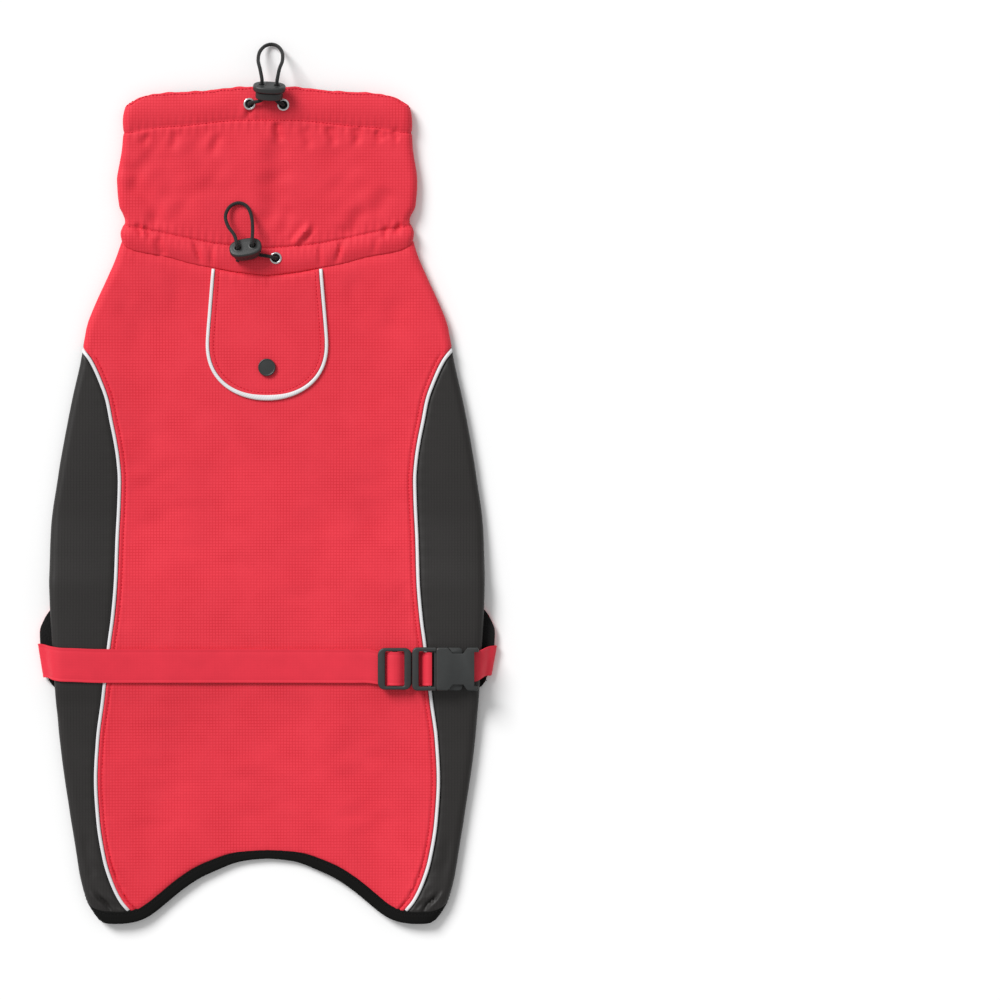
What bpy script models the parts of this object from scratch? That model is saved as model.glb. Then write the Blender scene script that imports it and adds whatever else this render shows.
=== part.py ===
"""Dog raincoat, laid flat on its belly side.

The garment is a flattened tube.  A point of its cloth is given by two numbers: how far round the tube it
lies from the middle of the back ("round", to the right, in mm) and how far along the garment ("along", in mm
from the lowest point of the hem towards the neck).  place() turns the two, with a depth under the outer
skin, into a point in space: first over the back, then round the side fold, then along the underside.
Every piece of cloth is a thin closed wall between two depths.

+X is the side with the buckle, +Y points to the neck, +Z is up, and the garment rests on Z = 0.
"""
import bpy
import bmesh
import math
from mathutils import Matrix, Vector

MM = 0.001

# ---------------------------------------------------------------- driving dimensions (millimetres)
LENGTH = 583.8                # lowest point of the hem to the top of the upper cord lock
FOLD_REACH = 5.5              # how far the side fold rounds off beyond the flat top
FOLD_ROUND = 16.5             # length of cloth in one side fold
SHELL = 1.8                   # thickness of the outer cloth
LINING = 1.2                  # thickness of the fleece
GAP = 0.3                     # kept between pieces
BELLY_LINING = 1.0
BELLY_LINING_GAP = 0.5
LINING_GAP = 0.6              # between shell and lining, which have different folds
COLLAR_WALL = 3.0             # double cloth of the collar
COLLAR_STITCH_DEPTH = 0.5     # its stitch lines lie this deep, and between them it stands proud by:
LOWER_CHANNEL_RISE = 1.4
UPPER_CHANNEL_RISE = 1.1
COLLAR_MIDDLE_RISE = 0.7
COLLAR_EDGE_FALL = 0.3        # at the upper edge
COLLAR_STEPS = 19             # columns of the collar between its middle and the side fold
THROAT_WALL = 3.0
THROAT_PINCH = 3.5            # gathered in by the lower cord, at this share of its length:
THROAT_PINCH_SHARE = 0.07
THROAT_PINCH_REACH = 0.08
PIPING_WIDTH = 2.4
PIPING_RISE = 0.5             # proud of the cloth beside it
FLAP_PIPING_THICK = 1.6
PIPING_END_TRIM = 0.14        # share of its last stretch that the piping leaves free for the hem's binding
BINDING_WIDTH = 8.5           # with the gap to the cloth
HEM_BINDING_WIDTH = 7.3
HEM_BINDING_MIDDLE = 5.2      # in the middle of the arch, where it rolls under
CHEST_BINDING_WIDTH = 6.2
BELLY_BINDING_WIDTH = 9.6
BINDING_THICK = 2.4
HEM_BINDING_RISE = 0.15       # proud of the cloth on top
BINDING_GAP = 0.8             # bindings turn corners, where cloth and binding come closer
BAND_STACK = 4.3              # belly band with its lining, as it lifts the side panels
TAB_LIFT = 1.5                # the belt's tabs lift the band's ends
TAB_LIFT_START = 124.0        # distance from the middle where that lift starts
TAB_LIFT_RAMP = 14.0
TAB_LIFT_REACH = 36.5         # and how far it reaches along, each way from the belt
TAB_LIFT_FALL = 17.0          # of which it falls off over this
LIFT_RAMP = 9.0
BAND_MIDDLE = 200.0           # along, where leg and hem bindings meet, out of sight over the belly band
STRAP_WIDTH = 23.4
STRAP_THICK = 1.2
BELT_CLEAR = 0.9              # the belt passes over the piping
CORD_DIAMETER = 2.5
YOKE_INNER = 35.3             # half width of the chest strip at the neck, where the yokes begin
THROAT_HALF = 68.5
FLANK_INSET = 0.6             # the side panel's edge keeps to the underside of the fold
CORNER_TURN = 35.0            # along, below which the flank's edge turns round the fold to the hem's corner
CORNER_ROUND = 124.5          # how far round the tube the hem's corner lies

# half width of the garment laid flat: (along, half_width)
SILHOUETTE = (
    (0.0, 116.0), (6.0, 120.4), (14.6, 125.3), (31.0, 130.1), (56.0, 134.3), (89.5, 139.5), (123.0, 144.0),
    (156.0, 146.8), (189.5, 148.9), (223.0, 150.9), (239.5, 151.3), (272.5, 150.3), (314.5, 144.7),
    (356.0, 137.4), (389.5, 130.1), (406.0, 127.0), (414.5, 125.4), (431.0, 119.0), (447.5, 111.4),
    (464.5, 103.4), (473.0, 101.2), (481.0, 99.6), (497.5, 103.2), (514.5, 104.1), (539.0, 101.0),
    (564.0, 99.6), (571.0, 97.8), (600.0, 97.0),
)
# height of the outer skin above the surface: (along, centre, middle, side)
TOP_HEIGHT = (
    (0.0, 4.3, 5.2, 8.2), (45.0, 4.3, 5.6, 8.8), (120.0, 5.4, 6.8, 9.0), (150.0, 6.6, 8.4, 10.4),
    (168.0, 8.4, 10.4, 13.0), (230.0, 9.0, 10.6, 13.0), (257.0, 8.6, 8.8, 10.8), (285.0, 8.0, 7.2, 9.0),
    (350.0, 8.0, 7.0, 9.0), (420.0, 8.2, 7.4, 9.0), (450.0, 9.0, 8.8, 9.0), (475.0, 9.6, 9.6, 9.4),
    (520.0, 9.9, 9.9, 9.7), (600.0, 9.7, 9.7, 9.5),
)
# footprint of the belly band under the side panels: (x, lower, upper)
BAND_EDGES = ((95.0, 160.0, 258.0), (117.0, 156.0, 248.0), (136.0, 152.0, 240.0), (152.0, 149.0, 233.0))
# seam between collar and body: (round, along)
NECK_SEAM = (
    (0.0, 449.0), (20.0, 451.5), (35.0, 454.5), (50.0, 457.5), (67.0, 462.0), (89.0, 466.0), (96.0, 468.5),
    (104.0, 475.0), (112.5, 482.0), (120.0, 488.5), (133.5, 493.5), (153.5, 495.5), (171.5, 493.5),
    (208.0, 492.5),
)
# upper edge of the collar: (round, along)
COLLAR_TOP = (
    (0.0, 580.8), (20.0, 580.4), (30.0, 579.6), (41.0, 578.2), (61.0, 577.0), (76.0, 576.4), (84.0, 575.4),
    (90.0, 573.6), (96.0, 570.5), (100.0, 568.0), (104.0, 567.4), (108.0, 568.4), (113.0, 571.0), (120.0, 573.8),
    (128.0, 575.0), (140.0, 575.8), (152.0, 576.6), (168.0, 578.2), (185.0, 579.6), (210.0, 579.8),
)
# stitch lines of the collar's two cord channels: (round, lower, upper)
CHANNEL_STITCH = (
    (0.0, 468.5, 557.3), (20.0, 470.0, 557.0), (34.0, 471.5, 556.0), (53.0, 475.0, 553.8), (79.0, 480.5, 551.7),
    (98.0, 484.0, 548.5), (112.0, 492.0, 550.0), (125.0, 500.0, 556.0), (145.0, 504.0, 557.0),
    (210.0, 504.0, 557.0),
)
# gathers pressed into the lower cord channel: (x on the seam, x on the stitch line, depth, half width)
GATHERS = (
    (-70.0, -75.5, 0.35, 3.0), (-45.5, -50.5, 0.85, 3.2), (-38.0, -38.5, 0.55, 2.6), (37.5, 36.5, 0.6, 2.8),
    (48.0, 52.5, 0.85, 3.2), (74.0, 77.0, 0.35, 3.0),
)
# piping between back and side panels: (along, half distance from the middle of the back)
PIPING = (
    (7.0, 93.0), (16.0, 100.6), (29.8, 107.1), (43.7, 111.4), (71.5, 115.9), (99.2, 117.5), (127.0, 116.1),
    (154.8, 112.4), (196.4, 107.6), (210.3, 105.7), (238.0, 103.4), (265.8, 102.6), (293.6, 101.3),
    (307.4, 101.0), (321.3, 102.0), (335.2, 104.1), (349.0, 106.9), (363.0, 109.6), (376.8, 114.5),
    (390.7, 121.1), (398.0, 128.0),
)
# cut edge of the cloth at the hem: (round, along)
HEM = (
    (0.0, 49.9), (14.0, 49.3), (21.0, 48.7), (28.0, 47.2), (35.0, 44.8), (49.0, 38.9), (62.5, 30.2), (76.0, 19.2),
    (83.0, 13.6), (90.0, 9.4), (97.0, 8.1), (104.0, 8.3), (111.0, 10.2), (118.0, 14.0), (124.5, 20.5),
)
# free edge of the flank binding on the underside, tail to leg hole: (along, round)
FLANK_EDGE = (
    (20.5, 133.0), (35.0, 145.0), (52.0, 155.0), (85.0, 171.5), (123.0, 187.0), (156.0, 196.5),
    (200.0, 191.0), (252.0, 178.0), (277.0, 169.5), (293.6, 163.0), (318.6, 158.0), (335.0, 155.0),
    (356.0, 150.0), (380.0, 144.5), (398.0, 140.0),
)
# cut edge of the yoke at the leg hole: (share of the way from chest strip to fold, along)
YOKE_EDGE = (
    (0.0, 447.8), (0.29, 450.4), (0.53, 451.0), (0.72, 451.2), (0.85, 447.4), (0.93, 440.0), (1.0, 428.0),
)
# cut edge of the shoulder where it meets the side panel, across the fold: (share of the fold, along)
SHOULDER_EDGE = ((0.0, 394.5), (0.25, 397.0), (0.5, 400.0), (0.62, 404.5), (0.8, 417.0), (1.0, 428.0))
# chest and belly panel: (along on the middle line, half width, along at the edge)
CHEST_ROWS = (
    (492.2, 34.7, 493.2), (470.0, 34.5, 470.0), (447.5, 33.8, 447.5), (427.0, 32.6, 427.0),
    (410.0, 34.7, 410.0), (385.0, 36.2, 385.0), (360.0, 38.5, 360.0), (343.5, 42.0, 343.5),
    (327.0, 46.8, 327.0), (310.0, 52.4, 310.0), (294.0, 60.4, 294.0), (282.0, 69.0, 281.0),
    (272.0, 78.5, 268.6), (262.0, 90.0, 256.0), (251.0, 106.0, 243.6), (240.0, 121.5, 235.3),
    (230.0, 138.0, 227.0), (220.0, 149.8, 218.6), (211.0, 155.6, 210.0), (202.0, 157.8, 201.8),
    (193.0, 156.9, 190.5), (187.0, 152.6, 177.0), (185.0, 148.5, 169.8),
)
# leash opening cover
FLAP_HALF = 40.0
FLAP_TOP_HALF = 35.8
FLAP_SHOULDER = 404.0         # along where the rounded bottom begins
FLAP_DROP = 38.7
FLAP_ROUNDNESS = 0.8
FLAP_THICK = 1.2
SNAP_ALONG = 385.6
SNAP_RADIUS = 6.1
SNAP_SIDES = 16
# half profile of the press stud's cap: (radius, height)
SNAP_PROFILE = (
    (0.0, 0.0), (SNAP_RADIUS, 0.0), (SNAP_RADIUS, 0.7), (SNAP_RADIUS - 0.5, 1.3), (4.2, 1.8), (2.0, 2.1),
    (0.0, 2.2),
)

# belt and its hard pieces
BELT_ALONG = 178.5
SLIDER_X = 88.8
SLIDER_ALONG = 176.7
SLIDER_SIZE = (23.6, 29.0, 2.8)
SLIDER_CORNER = 5.0
SLIDER_WINDOW = (6.6, 12.0)   # half length and half width
SLIDER_BAR = (1.7, 12.6)      # half width and half length of its cross bar
SLIDER_CLEAR = 0.4            # over the strap
BUCKLE_X0 = 100.9             # free end of the frame that takes the long belt
BUCKLE_MEET = 117.5           # where frame and body meet
BUCKLE_X1 = 147.1             # tips of the body's two ears
BUCKLE_ALONG = 176.7
BUCKLE_WIDTH = 30.0
BUCKLE_THICK = 7.6
BUCKLE_BASE = 13.7
BUCKLE_CORNER = 3.5           # of the frame
FRAME_WINDOW = (4.6, 12.1)    # from the frame's end, and half width
BODY_CORNER = 2.0
SLIDER_BASE = 12.3

# eyelets in the collar's cord channels: (x, along)
EYELETS = {
    "eyelet_upper_left": (-12.1, 568.2), "eyelet_upper_right": (11.4, 567.6), "eyelet_lower": (6.2, 461.4),
}
EYELET_OUTER = 4.3
EYELET_HOLE = 2.5
EYELET_HEIGHT = 1.1
EYELET_SIDES = 14
EYELET_LIFT = 0.75            # the channel stands this proud of the collar's skin

# cord locks: oval cap over a narrower button
LOCK_LONG = 22.6
LOCK_SHORT = 14.0
LOCK_CAP = 4.6
BUTTON_LONG = 19.0
BUTTON_SHORT = 11.6
BUTTON_HEIGHT = 5.2
LOCK_HOLE = 3.7
LOCK_HOLE_APART = 10.5
LOCK_CHAMFER = 0.9
LOCK_HOLE_SIDES = 10

# elastic loops for the hind legs, in plan, from over the flank's binding to the hem's
LOOP_TOP = (113.4, 99.7)
LOOP_FOOT = (59.5, 33.0)
LOOP_WIDTH = 6.2
LOOP_THICK = 0.9
LOOP_RISE = 2.8               # over the binding
LOOP_RISE_START = 103.0       # distance from the middle where the loop starts to rise
LOOP_RISE_RUN = 6.0

# a belt's end, side-on, from its tab under the belly band's end, round that end and up onto the side panel:
# (distance from the middle, height of the strap's middle, along, slant of its end line)
TAB = ((146.4, 0.6, 185.6, 3.9), (150.2, 0.6, 184.2, 3.3), (153.4, 0.6, 183.1, 2.6))
TURN_X = 155.0
TURN_REACH = 2.2
TURN_HEIGHT = 3.25
TURN_ALONG = 182.0
TURN_SLANT = 1.9
RISE_LEFT = (
    (153.1, 6.9, 181.6, 1.7), (151.6, 8.6, 181.2, 1.4), (150.2, 10.6, 180.8, 1.1), (148.0, 12.7, 180.3, 0.7),
    (145.0, 14.0, 179.8, 0.4),
)
RISE_RIGHT = (
    (153.1, 6.9, 181.7, 1.7), (151.6, 8.6, 181.2, 1.4), (150.1, 10.6, 180.4, 1.0), (147.8, 12.6, 179.2, 0.6),
    (144.9, 13.8, 178.2, 0.2), (141.6, 14.3, 178.0, 0.0),
)
RIGHT_STRAP_WIDTH = 20.8

ORIGIN_ALONG = LENGTH / 2

COLOURS = {
    "red_shell": (0.80, 0.055, 0.085), "red_strap": (0.84, 0.065, 0.095),
    "charcoal_shell": (0.040, 0.037, 0.036),
    "black_fleece": (0.008, 0.008, 0.008), "black_binding": (0.012, 0.012, 0.012),
    "reflective_piping": (0.62, 0.62, 0.64), "black_elastic": (0.015, 0.015, 0.015),
    "black_plastic": (0.030, 0.032, 0.032), "eyelet_metal": (0.80, 0.80, 0.80),
}
ROUGHNESS = {"black_plastic": 0.45, "eyelet_metal": 0.25, "reflective_piping": 0.4}


# ---------------------------------------------------------------- tables and small helpers
def slope_at(rows, index, column):
    """Slope of a table's column at a row, flat at a peak, so that the curve through it never overshoots."""
    if index in (0, len(rows) - 1):
        other = 1 if index == 0 else -2
        return (rows[other][column] - rows[index][column]) / (rows[other][0] - rows[index][0])
    before = (rows[index][column] - rows[index - 1][column]) / (rows[index][0] - rows[index - 1][0])
    after = (rows[index + 1][column] - rows[index][column]) / (rows[index + 1][0] - rows[index][0])
    if before * after <= 0.0:
        return 0.0
    return 2.0 * before * after / (before + after)


def smooth(rows, at, column=1):
    """Value of a table's column at any place, on a smooth curve through its rows."""
    if at <= rows[0][0]:
        return rows[0][column]
    if at >= rows[-1][0]:
        return rows[-1][column]
    index = max(i for i in range(len(rows) - 1) if rows[i][0] <= at)
    start, end = rows[index], rows[index + 1]
    span = end[0] - start[0]
    t = (at - start[0]) / span
    m0 = slope_at(rows, index, column) * span
    m1 = slope_at(rows, index + 1, column) * span
    return ((2 * t ** 3 - 3 * t ** 2 + 1) * start[column] + (t ** 3 - 2 * t ** 2 + t) * m0
            + (3 * t ** 2 - 2 * t ** 3) * end[column] + (t ** 3 - t ** 2) * m1)


def ease(t):
    t = min(1.0, max(0.0, t))
    return t * t * (3.0 - 2.0 * t)


def mix(a, b, t):
    return a + (b - a) * t


def steps(count, first=0.0, last=1.0):
    return [mix(first, last, i / count) for i in range(count + 1)]


# ---------------------------------------------------------------- the form of the garment
def fold_start(along):
    """Half width of the flat top, where the side fold begins."""
    return smooth(SILHOUETTE, along) - FOLD_REACH


def top_height(x, along):
    share = abs(x) / fold_start(along)
    centre = smooth(TOP_HEIGHT, along, 1)
    middle = smooth(TOP_HEIGHT, along, 2)
    side = smooth(TOP_HEIGHT, along, 3)
    inner = mix(centre, middle, ease((share - 0.12) / 0.4))
    return mix(inner, side, ease((share - 0.58) / 0.38))


def tab_lift(x, along):
    """The belt's tabs lie under the ends of the belly band and lift them."""
    across = ease((abs(x) - TAB_LIFT_START) / TAB_LIFT_RAMP)
    lengthwise = ease((TAB_LIFT_REACH - abs(along - BELT_ALONG)) / TAB_LIFT_FALL)
    return TAB_LIFT * across * lengthwise


def under_height(x, along):
    """Height of the side panels' underside, which rides over the belly band."""
    lower = smooth(BAND_EDGES, abs(x), 1)
    upper = smooth(BAND_EDGES, abs(x), 2)
    lift = ease((along - lower + LIFT_RAMP) / LIFT_RAMP) * ease((upper + LIFT_RAMP - along) / LIFT_RAMP)
    return BAND_STACK * lift + tab_lift(x, along)


def place(round_, along, depth):
    """Point of the flattened tube, in millimetres, at a depth under its outer skin."""
    side = math.copysign(1.0, round_)
    start = fold_start(along)
    far = abs(round_)
    y = along - ORIGIN_ALONG
    if far <= start:
        return Vector((round_, y, top_height(far, along) - depth))
    top = top_height(start, along)
    low = under_height(start, along)
    if far < start + FOLD_ROUND:
        angle = math.pi * (0.5 - (far - start) / FOLD_ROUND)
        x = start + (FOLD_REACH - depth) * math.cos(angle)
        z = (top + low) / 2 + ((top - low) / 2 - depth) * math.sin(angle)
        return Vector((side * x, y, z))
    x = 2 * start + FOLD_ROUND - far
    return Vector((side * x, y, under_height(x, along) + depth))


def under(x, along):
    """The place round the tube of a point of its underside."""
    return math.copysign(2 * fold_start(along) + FOLD_ROUND - abs(x), x)


def lay_under(x, along, depth):
    """Point of a panel that lies flat on the surface under the garment, at a depth above that surface."""
    return Vector((x, along - ORIGIN_ALONG, depth + tab_lift(x, along)))


def across_path(path, distance, form):
    """A path on a form, moved sideways over it by a distance, to the left of its direction."""
    moved = []
    for index, (u, v) in enumerate(path):
        ahead = path[min(index + 1, len(path) - 1)]
        behind = path[max(index - 1, 0)]
        at = [u, v]
        parts = max(1, math.ceil(abs(distance) / 3.0))
        for _ in range(parts):
            along_u = form(at[0] + 0.5, at[1], 0.0) - form(at[0] - 0.5, at[1], 0.0)
            along_v = form(at[0], at[1] + 0.5, 0.0) - form(at[0], at[1] - 0.5, 0.0)
            tangent = form(ahead[0], ahead[1], 0.0) - form(behind[0], behind[1], 0.0)
            normal = along_u.cross(along_v).normalized()
            wanted = normal.cross(tangent).normalized() * (distance / parts)
            uu, uv, vv = along_u.dot(along_u), along_u.dot(along_v), along_v.dot(along_v)
            wu, wv = wanted.dot(along_u), wanted.dot(along_v)
            spread = uu * vv - uv * uv
            at[0] += (wu * vv - wv * uv) / spread
            at[1] += (wv * uu - wu * uv) / spread
        moved.append(tuple(at))
    return moved


# ---------------------------------------------------------------- objects
def material(kind):
    found = bpy.data.materials.get(kind)
    if found:
        return found
    made = bpy.data.materials.new(kind)
    made.use_nodes = True
    shader = made.node_tree.nodes["Principled BSDF"]
    shader.inputs["Base Color"].default_value = (*COLOURS[kind], 1.0)
    shader.inputs["Roughness"].default_value = ROUGHNESS.get(kind, 0.85)
    shader.inputs["Metallic"].default_value = 1.0 if kind == "eyelet_metal" else 0.0
    return made


def add_object(name, data, kind):
    made = bpy.data.objects.new(name, data)
    bpy.context.scene.collection.objects.link(made)
    made.data.materials.append(material(kind))
    return made


def finish_mesh(name, bm, kind, rounded=True):
    """Close a bmesh given in millimetres into an object in metres, with its faces pointing out."""
    bmesh.ops.recalc_face_normals(bm, faces=bm.faces)
    if bm.calc_volume(signed=True) < 0.0:
        bmesh.ops.reverse_faces(bm, faces=bm.faces)
    bmesh.ops.scale(bm, vec=(MM, MM, MM), verts=bm.verts)
    mesh = bpy.data.meshes.new(name)
    bm.to_mesh(mesh)
    bm.free()
    if rounded:
        mesh.shade_smooth()
        mesh.set_sharp_from_angle(angle=math.radians(50))
    return add_object(name, mesh, kind)


def wall(name, rows, form, near, far, kind):
    """Closed wall over a grid of places on a form.

    rows hold one (u, v) for each column, or None where the cloth has no such point.  near and far are the
    depths of the two faces, as numbers or as functions of the place.  Left and right halves are cut into
    mirrored triangles, so that layers on the same rows lie on each other.
    """
    def depth(value, spot):
        return value(*spot) if callable(value) else value

    bm = bmesh.new()
    outer, inner = {}, {}
    for j, row in enumerate(rows):
        for i, spot in enumerate(row):
            if spot is not None:
                outer[i, j] = bm.verts.new(form(*spot, depth(near, spot)))
                inner[i, j] = bm.verts.new(form(*spot, depth(far, spot)))
    edges = {}
    for j in range(len(rows) - 1):
        for i in range(len(rows[0]) - 1):
            corners = [(i, j), (i + 1, j), (i + 1, j + 1), (i, j + 1)]
            if any(corner not in outer for corner in corners):
                continue
            turned = rows[j][i][0] + rows[j][i + 1][0] < 0.0
            halves = ((1, 2, 3), (1, 3, 0)) if turned else ((0, 1, 2), (0, 2, 3))
            for half in halves:
                bm.faces.new([outer[corners[k]] for k in half])
                bm.faces.new([inner[corners[k]] for k in reversed(half)])
            for a, b in zip(corners, corners[1:] + corners[:1]):
                edges[a, b] = edges.get((a, b), 0) + 1
    for a, b in edges:
        if (b, a) not in edges:
            bm.faces.new([outer[b], outer[a], inner[a], inner[b]])
    return finish_mesh(name, bm, kind)


def edging(name, path, width, form, near, far, kind, first_gap=GAP):
    """Narrow strip of cloth along a path on a form, to the left of its direction."""
    offsets = (first_gap, first_gap + width / 2, first_gap + width)
    rows = [across_path(path, offset, form) for offset in offsets]
    return wall(name, rows, form, near, far, kind)


def strip(name, path, width, form, near, far, kind):
    """As edging, for a strip that needs no line along its middle."""
    rows = [across_path(path, offset, form) for offset in (GAP, GAP + width)]
    return wall(name, rows, form, near, far, kind)


def mirrored(spots):
    """A row of places on the right half, continued to the left half."""
    return [(-u, v) for u, v in reversed(spots[1:])] + list(spots)


# ---------------------------------------------------------------- cloth pieces
BACK_SHARES = (0.0, 0.14, 0.28, 0.42, 0.56, 0.7, 0.84, 0.94, 1.0)
FOLD_SHARES = (0.2, 0.4, 0.6, 0.8, 1.0)
YOKE_SHARES = (0.93, 0.85, 0.72, 0.53, 0.35, 0.17, 0.0)
SHOULDER_STEPS = 6
# rows of cloth across the back, shared by the back panel, the piping and the side panels
BODY_ROWS = (386.0, 376.0, 364.0, 350.0, 330.0, 306.0, 280.0, 256.0, 235.0, 215.0, 190.0, 168.0, 148.0, 122.0,
             96.0, 74.0)
TAIL_ROWS = (52.0, 40.0, 31.0, 24.5, 8.6)
TAIL_START = BODY_ROWS[-1]


def yoke_spot(share, along):
    """Place on the yoke: share of the way from the chest strip to the fold."""
    return (under(mix(YOKE_INNER, fold_start(along), share), along), along)


def shoulder_column(kind, share):
    """Neck and lower end, along the garment, of a column of the shoulder."""
    if kind == "top":
        spot = share * fold_start(468.0)
        return smooth(NECK_SEAM, spot), mix(400.0, SHOULDER_EDGE[0][1], ease(share))
    if kind == "fold":
        spot = fold_start(475.0) + share * FOLD_ROUND
        return smooth(NECK_SEAM, spot), smooth(SHOULDER_EDGE, share)
    spot = abs(under(mix(YOKE_INNER, fold_start(492.0), share), 492.0))
    return smooth(NECK_SEAM, spot), smooth(YOKE_EDGE, share)


def back_hem_spots():
    """Places along the back panel's lower edge, from the middle to the piping."""
    return [(share * smooth(PIPING, TAIL_ROWS[-1]), smooth(HEM, share * smooth(PIPING, TAIL_ROWS[-1])))
            for share in BACK_SHARES]


def build_back_panel():
    columns = ([("top", s) for s in BACK_SHARES] + [("fold", s) for s in FOLD_SHARES]
               + [("yoke", s) for s in YOKE_SHARES])
    rows = []
    for step in steps(SHOULDER_STEPS):
        row = []
        for kind, share in columns:
            neck, low = shoulder_column(kind, share)
            along = mix(neck - GAP, low, step)
            if kind == "top":
                row.append((share * fold_start(along), along))
            elif kind == "fold":
                row.append((fold_start(along) + share * FOLD_ROUND, along))
            else:
                row.append(yoke_spot(share, along))
        rows.append(row)
    missing = [None] * (len(FOLD_SHARES) + len(YOKE_SHARES))
    for along in BODY_ROWS:
        rows.append([(share * smooth(PIPING, along), along) for share in BACK_SHARES] + missing)
    hem = back_hem_spots()
    for along in TAIL_ROWS:
        step = (TAIL_START - along) / (TAIL_START - TAIL_ROWS[-1])
        half = smooth(PIPING, along)
        row = [(share * half, mix(TAIL_START, low, step)) for share, (_, low) in zip(BACK_SHARES, hem)]
        rows.append(row + missing)
    full = [[None if s is None else (-s[0], s[1]) for s in reversed(row[1:])] + row for row in rows]
    wall("back_panel", full, place, 0.0, SHELL, "red_shell")


def piping_path():
    """Seam between back and side panel on the right, from the shoulder's fold down to the hem."""
    path = [(fold_start(smooth(SHOULDER_EDGE, share)) + share * FOLD_ROUND, smooth(SHOULDER_EDGE, share))
            for share in (0.4, 0.2, 0.0)]
    return path + [(smooth(PIPING, along), along) for along in BODY_ROWS + TAIL_ROWS]


def flank_cut(along):
    """Place round the tube of the side panel's cut edge on the underside."""
    cut_edge = smooth(FLANK_EDGE, along) - BINDING_WIDTH
    if along < CORNER_TURN:
        return cut_edge
    return max(cut_edge, fold_start(along) + FOLD_ROUND / 2 + FLANK_INSET)


def side_rows():
    """Places of the right side panel: over the top, round the fold and along the underside."""
    starts = across_path(piping_path(), PIPING_WIDTH + 2 * GAP, place)[1:]
    rows = []
    for seam, along in starts[:-1]:
        start, cut = fold_start(along), flank_cut(along)
        first_fold = max(start, seam + 1.0)
        end_fold = min(cut - 1.0, start + FOLD_ROUND)
        marks = [mix(seam, first_fold, s) for s in (0.0, 0.33, 0.66, 1.0)]
        marks += [mix(first_fold, end_fold, s) for s in (0.2, 0.4, 0.6, 0.8, 1.0)]
        marks += [mix(end_fold, cut, s) for s in (0.33, 0.66, 1.0)]
        rows.append([(mark, along) for mark in marks])
    above, last = starts[-2], starts[-1]
    short = (smooth(HEM, last[0]) - last[1]) / (above[1] - last[1])
    hem_start = mix(last[0], above[0], short)
    rows.append([(spot, smooth(HEM, spot)) for spot in steps(len(rows[0]) - 1, hem_start, CORNER_ROUND)])
    return rows


def build_side_panel(name, side):
    rows = side_rows()
    if side < 0:
        rows = [[(-u, v) for u, v in reversed(row)] for row in rows]
    wall(name, rows, place, 0.0, SHELL, "charcoal_shell")


LINING_SHARES = ((0.0, 0.0), (0.3, 0.0), (0.55, 0.0), (0.66, 0.0), (0.77, 0.0), (0.88, 0.0), (1.0, 0.0),
                 (1.0, 0.2), (1.0, 0.42))
LINING_ROWS = (386.0, 364.0, 330.0, 306.0, 280.0, 256.0, 235.0, 215.0, 190.0, 168.0, 148.0, 122.0, 96.0, 74.0)
LINING_SHORT = 1.6            # the lining ends this much before the shell's lower edge
LINING_HEM = 116.0            # how far round the lining's lower edge follows the hem


def build_back_lining():
    """The lining lies under the back from fold to fold, and follows neck seam and hem."""
    rows = []
    for step in steps(SHOULDER_STEPS):
        row = []
        for flat, fold in LINING_SHARES:
            spot = flat * fold_start(472.0) + fold * FOLD_ROUND
            along = mix(smooth(NECK_SEAM, spot) - 2.0, 398.0, step)
            row.append((flat * fold_start(along) + fold * FOLD_ROUND, along))
        rows.append(mirrored(row))
    for along in LINING_ROWS:
        rows.append(mirrored([(flat * fold_start(along) + fold * FOLD_ROUND, along)
                              for flat, fold in LINING_SHARES]))
    last = LINING_ROWS[-1]
    for step in steps(3)[1:]:
        row = []
        for flat, fold in LINING_SHARES:
            full = flat * fold_start(last) + fold * FOLD_ROUND
            hem = full * LINING_HEM / (fold_start(last) + LINING_SHARES[-1][1] * FOLD_ROUND)
            spot = mix(full, hem, step)
            row.append((spot, mix(last, smooth(HEM, hem) + LINING_SHORT, step)))
        rows.append(mirrored(row))
    depth = SHELL + LINING_GAP
    wall("back_lining", rows, place, depth, depth + LINING, "black_fleece")


def channel_depth(round_, along):
    """The collar's two cord channels stand proud between their stitch lines."""
    low_seam = smooth(NECK_SEAM, abs(round_))
    low_stitch = smooth(CHANNEL_STITCH, abs(round_), 1)
    high_stitch = smooth(CHANNEL_STITCH, abs(round_), 2)
    top = smooth(COLLAR_TOP, abs(round_))
    if along < low_stitch:
        share = min(1.0, max(0.0, (along - low_seam) / (low_stitch - low_seam)))
        pressed = sum(depth * math.exp(-((round_ - mix(foot, head, share)) / width) ** 2)
                      for foot, head, depth, width in GATHERS)
        return COLLAR_STITCH_DEPTH + (pressed - LOWER_CHANNEL_RISE) * math.sin(math.pi * share)
    if along > high_stitch:
        share = min(1.0, max(0.0, (along - high_stitch) / (top - high_stitch)))
        rise = UPPER_CHANNEL_RISE * math.sin(math.pi * share)
        return COLLAR_STITCH_DEPTH - rise + COLLAR_EDGE_FALL * share ** 4
    share = (along - low_stitch) / (high_stitch - low_stitch)
    return COLLAR_STITCH_DEPTH - COLLAR_MIDDLE_RISE * math.sin(math.pi * share) ** 0.5


def collar_marks(round_):
    """Rows of the collar in one column, from the neck seam to the upper edge."""
    seam = smooth(NECK_SEAM, round_) + GAP
    low = smooth(CHANNEL_STITCH, round_, 1)
    high = smooth(CHANNEL_STITCH, round_, 2)
    top = smooth(COLLAR_TOP, round_)
    return [seam, mix(seam, low, 0.5), low, mix(low, high, 0.12), mix(low, high, 0.5), mix(low, high, 0.88),
            high, mix(high, top, 0.5), top]


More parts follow.
